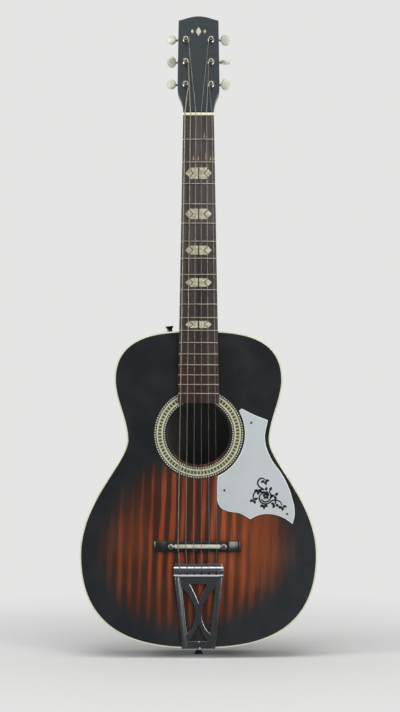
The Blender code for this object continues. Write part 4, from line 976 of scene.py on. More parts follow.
def make_linings():
    """Kerfed strips glued inside the ribs, along the soundboard and along the back."""
    depth, width, kerf = LINING
    low = FRONT_Y + TOP_THICKNESS + GAP
    near, far = half_outline(RIB_THICKNESS + GAP), half_outline(RIB_THICKNESS + GAP + width)
    blocks = []
    for sign in SIDES.values():
        for i in range(4, len(near) - 6, 2):
            ends = ((near, i, i + 1), (near, i + 1, i), (far, i + 1, i), (far, i, i + 1))
            quad = [edge[a] * (1 - kerf) + edge[b] * kerf for edge, a, b in ends]
            blocks.append(loft([[(sign * x, y, z) for x, z in quad] for y in (low, low + depth)]))
            rear = [back_y(x, z) - BACK_THICKNESS - 2 * GAP for x, z in quad]
            pair = [[(sign * x, y - down, z) for (x, z), y in zip(quad, rear)] for down in (0, depth)]
            blocks.append(loft(pair))
    add_piece("kerfed_linings", mesh_of(joined(blocks)), "inner_wood")


# Neck


def head_matrix():
    """The head's own frame: X across, Y up its face and Z out of its face."""
    return Matrix.Translation(HEAD_ORIGIN) @ Matrix.Rotation(math.pi / 2 - HEAD_TILT, 4, "X")


def board_half_width(z):
    share = (z - BOARD_END_Z) / (NUT_Z - BOARD_END_Z)
    return (BOARD_END_WIDTH + share * (BOARD_NUT_WIDTH - BOARD_END_WIDTH)) / 2


def fret_z(number):
    return SADDLE_Z + SCALE_LENGTH * 2 ** (-number / 12)


def eased(knots, column, at):
    """A smooth run through a column of the knots, whose first column is where they lie."""
    x, y = knots[:, 0], knots[:, column]
    slopes = np.diff(y) / np.diff(x)
    tangents = np.concatenate([[slopes[0]], np.zeros(len(slopes) - 1), [slopes[-1]]])
    for i in range(1, len(slopes)):
        if slopes[i - 1] * slopes[i] > 0:
            tangents[i] = 2 * slopes[i - 1] * slopes[i] / (slopes[i - 1] + slopes[i])
    i = int(np.clip(np.searchsorted(x, at) - 1, 0, len(slopes) - 1))
    span = x[i + 1] - x[i]
    t = (at - x[i]) / span
    start, end = y[i] + t**2 * (3 - 2 * t) * (y[i + 1] - y[i]), span * t * (1 - t)
    return start + end * ((1 - t) * (tangents[i]) - t * tangents[i + 1])


def neck_ring(half_width, depth, fullness):
    """(x, depth behind the front) points of a flat front and a rounded back."""
    ring = []
    for angle in np.linspace(0, math.pi, 33):
        across, behind = math.cos(angle), math.sin(angle)
        x = half_width * math.copysign(abs(across) ** (2 / fullness), across)
        ring.append((x, depth * max(behind, 0) ** (2 / fullness)))
    return ring


NECK_HEIGHTS = (0.469, *np.linspace(0.4725, 0.53, 40), *np.linspace(0.535, 0.765, 24))


def make_neck():
    """The heel and shaft in one skin that runs into the head, whose foot follows the body's edge."""
    rings = []
    for z in NECK_HEIGHTS:
        shape = neck_ring(board_half_width(z), eased(NECK_PROFILE, 1, z), eased(NECK_PROFILE, 2, z))
        ring = []
        for x, back in shape:
            rim = shoulder_z(x) + GAP
            ring.append((x, FRONT_Y + back, rim if z == NECK_HEIGHTS[0] else z))
        rings.append(ring)
    matrix = head_matrix()
    for up, half_width, front, depth, fullness in NECK_INTO_HEAD:
        ring = neck_ring(half_width, depth, fullness)
        rings.append([tuple(matrix @ Vector((x, up, -front - back))) for x, back in ring])
    mirrored = [(-x, y, kind) for x, y, kind in reversed(HEAD_HALF)]
    outline = [*HEAD_HALF, (0, HEAD_PEAK, "smooth"), *mirrored]
    head = plate([outline], HEAD_THICKNESS, HEAD_EASE)
    head.transform(shift(0, 0, -HEAD_THICKNESS / 2))
    mesh = flat_mesh(head, axis=2)
    mesh.transform(matrix)
    add_piece("head_plate", mesh, "neck_lacquer", instead_of=["neck"])
    add_piece("neck_shaft", mesh_of(loft(rings), 60), "neck_lacquer", instead_of=["neck"])


def make_fretboard():
    """A board slotted for its frets, with eased edges and a small bevel at its end."""
    cuts = [(BOARD_END_Z, BOARD_END_BEVEL, BOARD_EASE), (BOARD_END_Z + BOARD_END_BEVEL, 0, BOARD_EASE)]
    for number in range(FRETS, 0, -1):
        sides = [fret_z(number) + step * FRET_SLOT_WIDTH / 2 for step in (-1, 1)]
        for z, deep in zip(np.repeat(sides, 2), (False, True, True, False)):
            cuts.append((z, FRET_SLOT_DEPTH, 0) if deep else (z, 0, BOARD_EASE))
    cuts.append((NUT_Z - GAP, 0, BOARD_EASE))
    rings = []
    for z, down, ease in cuts:
        half = eased_side(BOARD_BACK_Y, BOARD_FRONT_Y + down, board_half_width(z), ease)
        rings.append([(x, y, z) for y, x in half] + [(-x, y, z) for y, x in reversed(half)])
    add_piece("fingerboard", mesh_of(loft(rings), 25), "fretboard_wood", instead_of=["fretboard"])


def make_frets():
    """Crowned wires across the board, each with its tang in a slot."""
    seat = BOARD_FRONT_Y - GAP / 2
    bow = np.linspace(0, math.pi, 11)
    for number in range(1, FRETS + 1):
        z, reach = fret_z(number), board_half_width(fret_z(number)) - FRET_INSET
        ends = [(reach - step, high) for step, high in FRET_ENDS]
        rings = []
        for x, high in ends + [(-x, high) for x, high in reversed(ends)]:
            rise = high * FRET_HEIGHT
            rings.append([(x, seat - rise * math.sin(a), z + FRET_WIDTH / 2 * math.cos(a)) for a in bow])
        wire = loft(rings)
        thick, deep = FRET_TANG
        tang = bevelled_box((-reach, seat, z - thick / 2), (reach, seat + deep, z + thick / 2), 0.00005, 1)
        name = f"fret_{number:02d}"
        add_piece(f"fret_wire_{number:02d}", mesh_of(joined([wire, tang])), "fret_wire", instead_of=[name])


def string_x(number, spread, centre=0.0):
    return centre + spread * (number / 5 - 0.5)


def grooved(section, ends, grooves, floor):
    """A section of (y, z) points run along X between two ends, cut down to a floor's y at each groove."""
    stops = [(ends[0], False)]
    for x, reach in grooves:
        stops += [(x - reach, False), (x - reach, True), (x + reach, True), (x + reach, False)]
    stops.append((ends[1], False))
    return loft([[(x, max(y, floor) if cut else y, z) for y, z in section] for x, cut in stops])


def make_nut():
    """A bar with a groove for each string."""
    half, low, high = BOARD_NUT_WIDTH / 2, NUT_Z, NUT_Z + NUT_THICKNESS
    crest = [(NUT_TOP_Y, low), (NUT_TOP_Y + 0.0004, high - 0.001)]
    section = rounded([(BOARD_BACK_Y, low), *crest, (BOARD_BACK_Y, high)], 3)
    grooves = [(string_x(i, STRINGS_AT_NUT), d / 2 + 0.0001) for i, d in enumerate(STRING_DIAMETERS)]
    mesh = mesh_of(grooved(section, (-half, half), grooves, NUT_SLOT_Y))
    add_piece("nut_bar", mesh, "nut_ivory", instead_of=["nut"])


MARKERS = (  # fret space, half heights of its blocks and of its diamonds
    (3, 0.0081, 0.0057),
    (5, 0.0074, 0.0055),
    (7, 0.0063, 0.0050),
    (9, 0.0059, 0.0047),
    (12, 0.0050, 0.0042),
)
MARKER_BLOCK = (0.00095, 0.0070, 0.0122)  # the block's inner side, its notch's point and its outer side
MARKER_DIAMOND = (0.0087, 0.0189)  # the diamond's inner and outer points
MARKER_CUT = 0.0006  # off the block's outer corners
INSET_PLATE = (0.0004, 0.00004)  # thickness and eased edge
INSET_PROUD = 0.00006


def make_markers():
    """Cream shapes let into the board: two notched blocks, each with a diamond in its notch."""
    middle = BOARD_FRONT_Y - INSET_PROUD + INSET_PLATE[0] / 2
    inner, notch, outer = MARKER_BLOCK
    point, tip = MARKER_DIAMOND
    for fret, tall, half in MARKERS:
        z = (fret_z(fret) + fret_z(fret - 1)) / 2
        mouth = min((outer - notch) * half / ((tip - point) / 2), tall - MARKER_CUT)
        block = [(inner, tall), (outer - MARKER_CUT, tall), (outer, tall - MARKER_CUT), (outer, mouth)]
        block += [(notch, 0)] + [(x, -up) for x, up in reversed(block)]
        diamond = [(point, 0), ((point + tip) / 2, half), (tip, 0), ((point + tip) / 2, -half)]
        shapes = []
        for sign in SIDES.values():
            for shape in (block, diamond):
                outline = [(sign * x, z + up, "line") for x, up in shape]
                shapes.append(stand_up(plate([outline], *INSET_PLATE), middle))
        add_piece(f"position_marker_{fret:02d}", flat_mesh(joined(shapes)), "marker_pearl")


# Bridge


WING_SLOPE = ((0.0, 0.0), (0.05, 0.17), (0.45, 0.44), (0.55, 0.53), (0.97, 0.97), (1.0, 1.0))


def make_bridge():
    """A long bar with a flat raised middle and wings that slope down to thin ends."""
    middle, edge = BRIDGE_MIDDLE / 2, BRIDGE_WIDTH / 2
    strip = edge - WING_STRIP
    heights = [(edge, WING_HEIGHT - WING_EASE), (edge - WING_EASE, WING_HEIGHT)]
    heights.append((strip + WING_STEP[0], WING_HEIGHT + WING_STEP[1]))
    for share, rise in WING_SLOPE:
        high = WING_HEIGHT + (BRIDGE_HEIGHT - WING_HEIGHT) * rise
        heights.append((strip - share * (strip - middle), high))
    heights.append((middle - 0.002, BRIDGE_HEIGHT))
    rings = []
    for x, high in [(-x, high) for x, high in heights] + heights[::-1]:
        side = eased_side(FRONT_Y - GAP, FRONT_Y - high, BRIDGE_REACH / 2, BRIDGE_EASE)
        ring = side + [(y, -z) for y, z in reversed(side)]
        rings.append([(BRIDGE_X + x, y, BRIDGE_Z + z) for y, z in ring])
    add_piece("bridge_block", mesh_of(loft(rings), 30), "bridge_wood", instead_of=["bridge"])


def make_saddle():
    """A round-topped bar with rounded ends, let into the bridge."""
    foot = FRONT_Y - BRIDGE_HEIGHT + SADDLE_SEAT
    reach = SADDLE_WIDTH / 2
    rings = []
    for x, share in SADDLE_ENDS + tuple((-x, share) for x, share in reversed(SADDLE_ENDS)):
        half = SADDLE_THICKNESS / 2 * share
        crown_y = SADDLE_TOP_Y + SADDLE_THICKNESS / 2
        arc = np.linspace(0, math.pi, 17)
        ring = [(crown_y - half * math.sin(a), SADDLE_Z + half * math.cos(a)) for a in arc]
        ring += [(foot, SADDLE_Z - half), (foot, SADDLE_Z + half)]
        rings.append([(BRIDGE_X + x * reach, y, z) for y, z in ring])
    add_piece("saddle_bar", mesh_of(loft(rings), 50), "saddle_white", instead_of=["saddle"])


def cut_away(bm, cutters):
    """The form with cutters taken out of it."""
    target = placed("target", mesh_of(bm))
    helpers = []
    for cutter in cutters:
        helper = placed("cutter", mesh_of(cutter))
        modifier = target.modifiers.new("cut", "BOOLEAN")
        modifier.operation, modifier.object = "DIFFERENCE", helper
        helpers.append(helper)
    graph = bpy.context.evaluated_depsgraph_get()
    mesh = bpy.data.meshes.new_from_object(target.evaluated_get(graph))
    for helper in [target, *helpers]:
        bpy.data.objects.remove(helper)
    result = bmesh.new()
    result.from_mesh(mesh)
    bpy.data.meshes.remove(mesh)
    return result


def screw_form(kind):
    """A round-headed screw's head about Z, its brim's underside at 0, with a slot along X."""
    radius, brim, dome, slot, below = SCREWS[kind]
    angles = np.radians((0, 14, 28, 42, 56, 70, 82))
    profile = [(radius, -below), (radius, brim * 0.6)]
    profile += [(radius * math.cos(a), brim + dome * math.sin(a)) for a in angles]
    reach, half = radius * 1.2, radius * slot / 2
    low, high = (-reach, -half, brim + 0.25 * dome), (reach, half, brim + 2 * dome)
    return cut_away(turned(profile, 28), [bevelled_box(low, high, half * 0.1, 1)])


def make_bolts():
    """The two screws through the bridge, with their shanks."""
    for side, sign in SIDES.items():
        head = screw_form("bolt")
        turn = spin(BOLT_TURNS[side], "Z")
        seat = (BRIDGE_X + sign * BOLT_X, FRONT_Y - BRIDGE_HEIGHT - GAP, BRIDGE_Z)
        head.transform(Matrix.Translation(seat) @ spin(90, "X") @ turn)
        name = f"bridge_bolt_{side}"
        shank = tube([seat, (seat[0], seat[1] + BOLT_LENGTH, seat[2])], 0.002, 20)
        add_piece(f"{name}_head", mesh_of(joined([head, shank])), "bolt_steel", instead_of=[name])


# Tailpiece


def frame_half_width(up):
    return FRAME_TAIL_HALF + (FRAME_BAR_HALF - FRAME_TAIL_HALF) * up / (BAR_LOW_Z - TAIL_Z)


def frame_matrix():
    """The frame's own plane, with X across and Y up from the tail, on its middle sheet."""
    rise = math.atan2(FRAME_CLEAR_BAR - FRAME_CLEAR_TAIL, BAR_LOW_Z - TAIL_Z)
    hinge = shift(0, FRONT_Y - FRAME_CLEAR_TAIL - SHEET / 2, TAIL_Z)
    return hinge @ Matrix.Rotation(math.pi / 2 + rise, 4, "X")


TAILPIECE_FINISHES = ("tailpiece_chrome", "tailpiece_rail", "tailpiece_edge", "tailpiece_wall")
PRESS_MARKS = ((0.0004, 0.0099), (0.0018, 0.0004))  # across and up from the tail


def make_tailpiece():
    """The pressed frame with its cut-outs and ridged rails, the bend at the tail and the string bar."""
    top = BAR_LOW_Z - TAIL_Z + FRAME_UNDER_BAR
    low, high = frame_half_width(0), frame_half_width(top)
    rim = [(-low, FRAME_FOOT), (low, FRAME_FOOT), (high, top), (-high, top)]
    holes = [UPPER_CUT, LOWER_CUT]
    corners = [(frame_half_width(up) - RAIL_WIDTH, up, "corner") for up in SIDE_CUT_ENDS]
    arc = [(x, up, "smooth") for x, up in SIDE_CUT_ARC]
    for sign in SIDES.values():
        holes.append([(sign * x, up, kind) for x, up, kind in corners + arc])
    sheet = plate([[(x, up, "line") for x, up in rim], *holes], SHEET, 0.0006, 16)
    sheet.normal_update()
    for face in sheet.faces:
        # Cut edges and bevels take the darker, painted-shade copy of the chrome.
        face.material_index = 2 if abs(face.normal.z) < 0.99 else 0
    sheet.transform(frame_matrix())
    marks = [press_mark(*place) for place in PRESS_MARKS]
    rails = [rail_form(sign) for sign in SIDES.values()]
    for rail in rails:
        for face in rail.faces:
            face.material_index = 1
    mesh = mesh_of(joined([sheet, hook_form(), *rails, *marks, *bar_forms()]), 40)
    outwards = frame_matrix().to_3x3() @ Vector((0, 0, 1))
    for face in mesh.polygons:
        if face.material_index == 2 or abs(face.normal.dot(outwards)) > 0.9995:
            face.use_smooth = False
    add_piece("tailpiece_plate", mesh, TAILPIECE_FINISHES, instead_of=["tailpiece"])


def press_mark(across, up):
    """A small raised dot that the press leaves in the sheet."""
    dome = turned(mm((1.1, -0.3), (1.0, 0.1), (0.7, 0.4), (0.2, 0.5)), 16)
    dome.transform(frame_matrix() @ shift(across, up, SHEET / 2))
    return dome


RAIL_RIDGE = mm(  # across the rail, outwards from its middle, and out from the sheet
    (-3.9, -0.3), (-3.8, 0.0), (-3.4, 0.06), (-2.4, 0.22), (-1.6, 0.41), (-0.8, 0.60), (0.0, 0.75),
    (0.8, 0.85), (1.7, 0.91), (2.6, 0.90), (3.3, 0.78), (3.8, 0.0), (3.9, -0.3),
)
# How far up a rail, and the share of its ridge there
RAIL_STOPS = ((0.0010, 0.6), (0.0035, 1.0), (0.1000, 1.0), (0.1025, 0.6))


def rail_form(sign):
    """The low ridge pressed into a side rail, steeper on its inner side."""
    rings = []
    for up, share in RAIL_STOPS:
        centre = frame_half_width(up) - RAIL_WIDTH / 2
        ring = [(centre + x * share, SHEET / 2 + out * share) for x, out in RAIL_RIDGE]
        rings.append([tuple(frame_matrix() @ Vector((sign * x, up, out))) for x, out in ring])
    return loft(rings)


BAR_PROFILE = mm(  # out from the front and up from the bar's lower edge: roll, wall, wedge lip
    (3.4, 14.1), (4.4, 14.9), (5.5, 15.15), (6.6, 14.9), (7.6, 14.0), (8.25, 12.4), (8.5, 10.6),
    (8.55, 9.0), (8.3, 7.5), (7.9, 6.2), (7.4, 5.2), (6.7, 4.5), (6.2, 4.0), (6.1, 3.5), (6.9, 2.2),
    (7.2, 1.0), (7.2, 0.4), (6.6, 0.0), (3.4, 0.0),
)
BAR_BACK = 0.0034
BAR_WALL = (0.0030, 0.0102)  # the heights between which the bar is satin
BAR_NICKED_FROM = 0.0060
BAR_END, BAR_NICK = 0.985, 0.80  # shares of the bar's reach at its ends and under a string
BAR_SLANT = 0.0002
STRING_HOLE = (0.0017, 0.0052, 0.0046, 0.0120)  # radius, up from the bar's lower edge, and its two ends
BACK_LIP = (0.0030, 0.0038, 0.0042)  # its back and front out from the soundboard, its rise above the bar


def bar_forms():
    """The string bar, holed for each ball end and nicked above it, and the lip that stands behind it."""
    half, rings, cutters = BAR_WIDTH / 2, [], []
    stops = [(-half, BAR_END), (BAR_SLANT - half, 1.0)]
    radius, hole_up, *hole_run = STRING_HOLE
    for number, diameter in enumerate(STRING_DIAMETERS):
        x, nick = string_x(number, STRINGS_AT_BAR, BRIDGE_X / 2), diameter / 2 + 0.0001
        edge = nick + BAR_SLANT
        stops += [(x - edge, 1.0), (x - nick, BAR_NICK), (x + nick, BAR_NICK), (x + edge, 1.0)]
        ends = [(x, FRONT_Y - out, BAR_LOW_Z + hole_up) for out in hole_run]
        cutters.append(tube(ends, radius, 24))
    stops += [(half - BAR_SLANT, 1.0), (half, BAR_END)]
    for x, share in stops:
        ring = []
        for out, up in BAR_PROFILE:
            if up > BAR_NICKED_FROM or share > BAR_NICK:
                out = BAR_BACK + (out - BAR_BACK) * share
            ring.append((x, FRONT_Y - out, BAR_LOW_Z + up))
        rings.append(ring)
    bar = cut_away(loft(rings), cutters)
    low_wall, high_wall = (BAR_LOW_Z + up for up in BAR_WALL)
    for face in bar.faces:
        face.material_index = 3 if low_wall < face.calc_center_median().z < high_wall else 0
    near, far, rise = BACK_LIP
    low = (-half + 0.002, FRONT_Y - far, BAR_HIGH_Z - 0.001)
    high = (half - 0.002, FRONT_Y - near, BAR_HIGH_Z + rise)
    return [bar, bevelled_box(low, high, 0.00025)]


def hook_form():
    """The bend over the body's edge and the tab on its tail."""
    front, low, tab_y = FRONT_Y - FRAME_CLEAR_TAIL, TAIL_Z - GAP, FRONT_Y + TAB_LENGTH
    centre_y, centre_z = front + HOOK_BEND, low + HOOK_BEND
    inner, outer = [], []
    for angle in np.linspace(0, math.pi / 2, 9):
        for arc, radius in ((inner, HOOK_BEND), (outer, HOOK_BEND + SHEET)):
            arc.append((centre_y - radius * math.cos(angle), centre_z - radius * math.sin(angle)))
    side = [(front, TAIL_Z + HOOK_RISE), *inner, (tab_y, low), (tab_y, low - SHEET)]
    side += [*reversed(outer), (front - SHEET, TAIL_Z + HOOK_RISE)]
    half = FRAME_TAIL_HALF - GAP
    return loft([[(x, y, z) for y, z in side] for x in (-half, half)])


TAB_SCREWS = ((-0.0150, 0.0085), (0.0150, 0.0085), (0.0, -0.0250))
TAB_SCREW_TURN = 0.9  # from one slot to the next, in radians


def make_tab_screws():
    """Small screws that hold the tab to the tail beside the strap button."""
    for number, (x, y) in enumerate(TAB_SCREWS, 1):
        head = screw_form("tab")
        seat = shift(x, y, TAIL_Z - GAP - SHEET) @ spin(180, "X")
        head.transform(seat @ Matrix.Rotation(TAB_SCREW_TURN * number, 4, "Z"))
        add_piece(f"tab_screw_{number}", mesh_of(head), "bolt_steel")


# Strap buttons and pickguard


def make_strap_buttons():
    """The tail's pin, and the button screwed to the bass shoulder, square to it there."""
    pin = turned([*rounded(END_PIN_PROFILE), *mm((4.0, 12.4), (3.6, 36))], 40)
    add_piece("tail_strap_pin", mesh_of(pin, 50), "strap_button_black", instead_of=["end_pin"])
    step = 0.004
    near, z, far = (shoulder_z(abs(STRAP_BUTTON_X) + across) for across in (-step, 0, step))
    screw = mm((1.6, -18), (2, -14), (2, 0))
    button = turned([*screw, *rounded(STRAP_BUTTON_PROFILE)], 36)
    place = shift(STRAP_BUTTON_X, STRAP_BUTTON_Y, z)
    button.transform(place @ Matrix.Rotation(-math.atan2(near - far, 2 * step), 4, "Y"))
    mesh = mesh_of(button, 50)
    add_piece("shoulder_strap_knob", mesh, "strap_button_black", instead_of=["shoulder_strap_button"])


def make_pickguard():
    """A plastic plate that follows the rosette, with a pale eased rim and three pins."""
    rim = []
    for angle in np.radians(np.linspace(*PICKGUARD_RIM_ANGLES, 30)):
        rim.append((PICKGUARD_RIM * math.cos(angle), HOLE_Z + PICKGUARD_RIM * math.sin(angle), "corner"))
    bm = plate([[*PICKGUARD, *rim]], PICKGUARD_THICKNESS, 0.0009)
    mesh = flat_mesh(stand_up(bm, FRONT_Y - GAP - PICKGUARD_THICKNESS / 2))
    for face in mesh.polygons:
        face.material_index = int(abs(face.normal.y) < 0.97)
    add_piece("pickguard_plate", mesh, ["pickguard_plastic", "pickguard_rim"], instead_of=["pickguard"])
    for number, (x, z) in enumerate(PICKGUARD_PINS, 1):
        pin = turned(mm((1.6, -0.3), (1.6, 0.2), (1.4, 0.5), (0.9, 0.8), (0.3, 0.9)), 20)
        pin.transform(shift(x, PICKGUARD_FRONT_Y, z) @ spin(90, "X"))
        add_piece(f"pickguard_pin_{number}", mesh_of(pin, 60), "pin_steel")


def ribbon(points, widths):
    """A flat strip in XY along a run of points, this wide at each."""
    points = [Vector((*point, 0)) for point in points]
    bm = bmesh.new()
    pairs = []
    for i, (point, width) in enumerate(zip(points, widths)):
        run = (points[min(i + 1, len(points) - 1)] - points[max(i - 1, 0)]).normalized()
        side = Vector((-run.y, run.x, 0)) * width / 2
        pairs.append((bm.verts.new(point + side), bm.verts.new(point - side)))
    for a, b in zip(pairs, pairs[1:]):
        bm.faces.new((a[0], a[1], b[1], b[0]))
    return bm


def leaf(x, y, heading, length, width):
    """A pointed leaf in XY that starts at a stem."""
    bm = bmesh.new()
    sides = ([], [])
    for share in np.linspace(0, 1, 9):
        half = width / 2 * math.sin(math.pi * share**0.75)
        for side, sign in zip(sides, (1, -1)):
            side.append((share * length, sign * half))
    outline = sides[0] + sides[1][-2:0:-1]
    turn = shift(x, y, 0) @ Matrix.Rotation(heading, 4, "Z")
    bm.faces.new([bm.verts.new(turn @ Vector((px, py, 0))) for px, py in outline])
    return bm


ORNAMENT_CENTRE = (0.0965, 0.2327)
STEMS = (  # millimetres from the flower's middle
    (
        (-5.2, 4.9), (-8.8, 0.2), (-9.4, -4.9), (-6.3, -9.6), (-0.9, -11.6),
        (4.5, -9.9), (9.0, -6.6), (15.2, -6.0), (20.6, -8.9), (23.2, -13.6),
    ),
    ((-6.9, -4.3), (-4.0, -7.6), (0.0, -8.5), (4.2, -6.4), (6.9, -2.2), (6.8, 2.6), (5.2, 5.6), (5.4, 8.2)),
    ((-2.2, 9.2), (-7.9, 12.0), (-11.4, 16.1), (-11.4, 21.0), (-8.5, 24.5), (-4.4, 25.2), (-0.8, 22.6)),
    ((-2.2, 9.2), (-8.6, 8.8), (-13.4, 7.0), (-17.0, 3.6), (-18.4, -1.0), (-17.4, -5.6)),
    ((6.9, -2.2), (9.6, -0.4), (12.6, 0.4)),
    ((12.0, -6.0), (13.9, -8.8), (13.7, -11.6)),
)
STEM_WIDTHS = ((0, 0.15, 0.7, 1), (1.6, 2.3, 2.2, 1.5))  # shares of a stem's length, and its widths there
LEAF, PETAL, SEPAL = (6.2, 4.1), (5.0, 3.0), (6.6, 1.1)  # lengths and widths
SPRIGS = (  # place, heading in degrees, and the leaves' angles from it
    ((-1.4, 21.7), 285, (-85, 0, 80)),
    ((-10.6, 7.6), 262, (-82, 0, 75)),
    ((-17.5, -5.4), 270, (-65, 20, 110)),
    ((-0.4, 6.8), 75, (-120, 0, 140)),
    ((5.2, 7.2), 62, (0,)),
    ((12.4, 0.5), 290, (-105, 0, 105)),
    ((-2.8, -12.7), 270, (-66, 0, 66)),
    ((13.2, -12.0), 265, (-98, -30, 68)),
    ((23.4, -15.0), 275, (-75, 0, 85)),
)


def smooth_run(points, steps=10):
    """A smooth run of points through others."""
    points = [Vector(point) for point in points]
    ends = [points[0] * 2 - points[1], *points, points[-1] * 2 - points[-2]]
    run = []
    for a, b, c, d in zip(ends, ends[1:], ends[2:], ends[3:]):
        run += interpolate_bezier(b, b + (c - a) / 6, c - (d - b) / 6, c, steps + 1)[:-1]
    return [*run, points[-1]]


def make_ornament():
    """A traditional scrolling vine with small leaves round a flower, printed on the pickguard."""
    forms = []
    for stem in STEMS:
        run = smooth_run(stem)
        forms.append(ribbon(run, np.interp(np.linspace(0, 1, len(run)), *STEM_WIDTHS)))
    for place, heading, spreads in SPRIGS:
        for spread in spreads:
            turn = math.radians(heading + spread)
            start = (place[0] + 0.6 * math.cos(turn), place[1] + 0.6 * math.sin(turn))
            forms.append(leaf(*start, turn, *LEAF))
    for petal in range(5):
        turn = math.radians(72 * petal + 18)
        forms.append(leaf(math.cos(turn), math.sin(turn), turn, *PETAL))
        forms.append(leaf(0, 0, turn + math.radians(36), *SEPAL))
    bm = joined(forms)
    bm.transform(shift(*ORNAMENT_CENTRE, 0) @ Matrix.Scale(0.001, 4))
    stand_up(bm, PICKGUARD_FRONT_Y - PRINT_PROUD)
    mesh = bpy.data.meshes.new("ornament")
    bm.to_mesh(mesh)
    bm.free()
    add_piece("pickguard_ornament", mesh, "pickguard_ink")


LOZENGES = mm((0, 4.2, 7), (-9, 2, 3.4), (9, 2, 3.4))  # across, half width and half height
LOZENGES_UP = 0.1235


def make_head_inlay():
    """A plain lozenge between two small ones, let into the head's face."""
    shapes = []
    for x, wide, tall in LOZENGES:
        outline = [(x + wide, 0), (x, tall), (x - wide, 0), (x, -tall)]
        shapes.append(plate([[(px, LOZENGES_UP + py, "line") for px, py in outline]], *INSET_PLATE))
    bm = joined(shapes)
    bm.transform(shift(0, 0, INSET_PROUD - INSET_PLATE[0] / 2))
    mesh = flat_mesh(bm, axis=2)
    mesh.transform(head_matrix())
    add_piece("head_inlay", mesh, "marker_pearl")


# Tuners


def tuner_height(place):
    return TUNER_FIRST + place * TUNER_STEP


def key_ring(x, up, out, sides=24, power=1.0):
    """A ring round a key's axis, squarer as the power falls, or without a radius the worm's thread."""
    ring = []
    for angle in around(sides):
        cos, sin = math.cos(angle), math.sin(angle)
        if up is None:
            wave = math.cos(angle - math.pi - 2 * math.pi * x / WORM_LEAD)
            reach = (WORM_CREST + WORM_ROOT) / 2 + (WORM_CREST - WORM_ROOT) / 2 * wave
            ring.append((x, reach * cos, reach * sin))
        else:
            high, deep = (math.copysign(abs(share) ** power, share) for share in (cos, sin))
            ring.append((x, up * high, out * deep))
    return ring


def worm_form(sign):
    """A key's shaft: its end cap, the worm between the ears, and the collar that holds the button."""
    ear = EAR_X + EAR_THICKNESS / 2 + GAP
    half = WORM_LENGTH / 2
    cap = mm((-1.7, 1.2), (-1.5, 2.0), (-1.1, 2.4), (0, 2.4))
    collar = mm((-2.2, 2.3), (-1.8, 2.7), (0.2, 2.7), (0.6, 2.3))
    rings = [(x - ear, radius) for x, radius in cap] + [(-ear, KEY_SHAFT), (-half - 0.0003, KEY_SHAFT)]
    rings += [(x, None) for x in np.linspace(-half, half, 56)]
    rings += [(half + 0.0003, KEY_SHAFT), (BUTTON_START - 0.0026, KEY_SHAFT)]
    rings += [(BUTTON_START + x, radius) for x, radius in collar]
    return loft([key_ring(sign * x, radius, radius) for x, radius in rings])


def button_form(sign):
    """An oval button with a flat, evenly thick blade and rounded edges."""
    long, tall, thick = BUTTON_SIZE
    rings = [key_ring(sign * (BUTTON_START - 0.0002), 0.0021, 0.0021, sides=36)]
    for turn in np.radians(np.linspace(22, 177, 28)):
        x = BUTTON_START + long / 2 * (1 - math.cos(turn))
        up, out = tall / 2 * math.sin(turn), thick / 2 * math.sin(turn) ** 0.36
        rings.append(key_ring(sign * x, up, out, sides=36, power=0.66))
    return loft(rings)


def gear_form():
    """A gear about Z with a gap between two teeth at +Y."""
    root, tip = (GEAR_ROOT, TOOTH_ROOT), (GEAR_TIP, TOOTH_TIP)
    mid = ((GEAR_ROOT + GEAR_TIP) / 2, (TOOTH_ROOT + TOOTH_TIP) * 0.54)
    flanks = ((root, -1), (mid, -1), (tip, -1), (tip, 1), (mid, 1), (root, 1))
    low = -WORM_DEPTH - GEAR_THICKNESS / 2
    rings = []
    for z, shrink in ((0, 0.00025), (0.00025, 0), (GEAR_THICKNESS - 0.00025, 0), (GEAR_THICKNESS, 0.00025)):
        ring = []
        for tooth in range(TEETH):
            middle = math.pi / 2 + 2 * math.pi * (tooth + 0.5) / TEETH
            for (radius, half_angle), side in flanks:
                angle, r = middle + side * half_angle, radius - shrink
                ring.append((r * math.cos(angle), r * math.sin(angle), low + z))
        rings.append(ring)
    return loft(rings)


def post_form():
    """A string post, waisted and drilled, with a dimple in its top."""
    gear_back = -WORM_DEPTH - GEAR_THICKNESS / 2
    shoulder = -HEAD_THICKNESS - STRIP_THICKNESS - 2 * GAP
    profile = [(0.0039, gear_back + 0.001), (0.0039, shoulder), (POST_RADIUS, shoulder)]
    waist = [(POST_RADIUS, 0.0010), (POST_WAIST, 0.0017), (POST_WAIST, POST_TOP - 0.0018)]
    crown = [(POST_RADIUS, -0.0012), (POST_RADIUS, -0.0005), *mm((2.7, -0.1), (2.3, 0), (2.0, -0.2))]
    crown += [(DIMPLE_RADIUS, -0.0006), (0.0004, -0.0008)]
    profile += rounded(waist, 1) + [(radius, POST_TOP + down) for radius, down in crown]
    hole = tube([(0, -0.006, POST_HOLE_Z), (0, 0.006, POST_HOLE_Z)], 0.0007, 14)
    return cut_away(turned(profile, 32), [hole])


def ferrule_form():
    """The pressed ring that lines a post's hole in the head's face."""
    profile = mm((3.3, -0.6), (4.8, -0.6), (4.9, 0), (4.8, 0.6), (4.3, 1.2), (3.7, 1.5), (3.3, 1.2))
    return turned_ring(profile, 36)


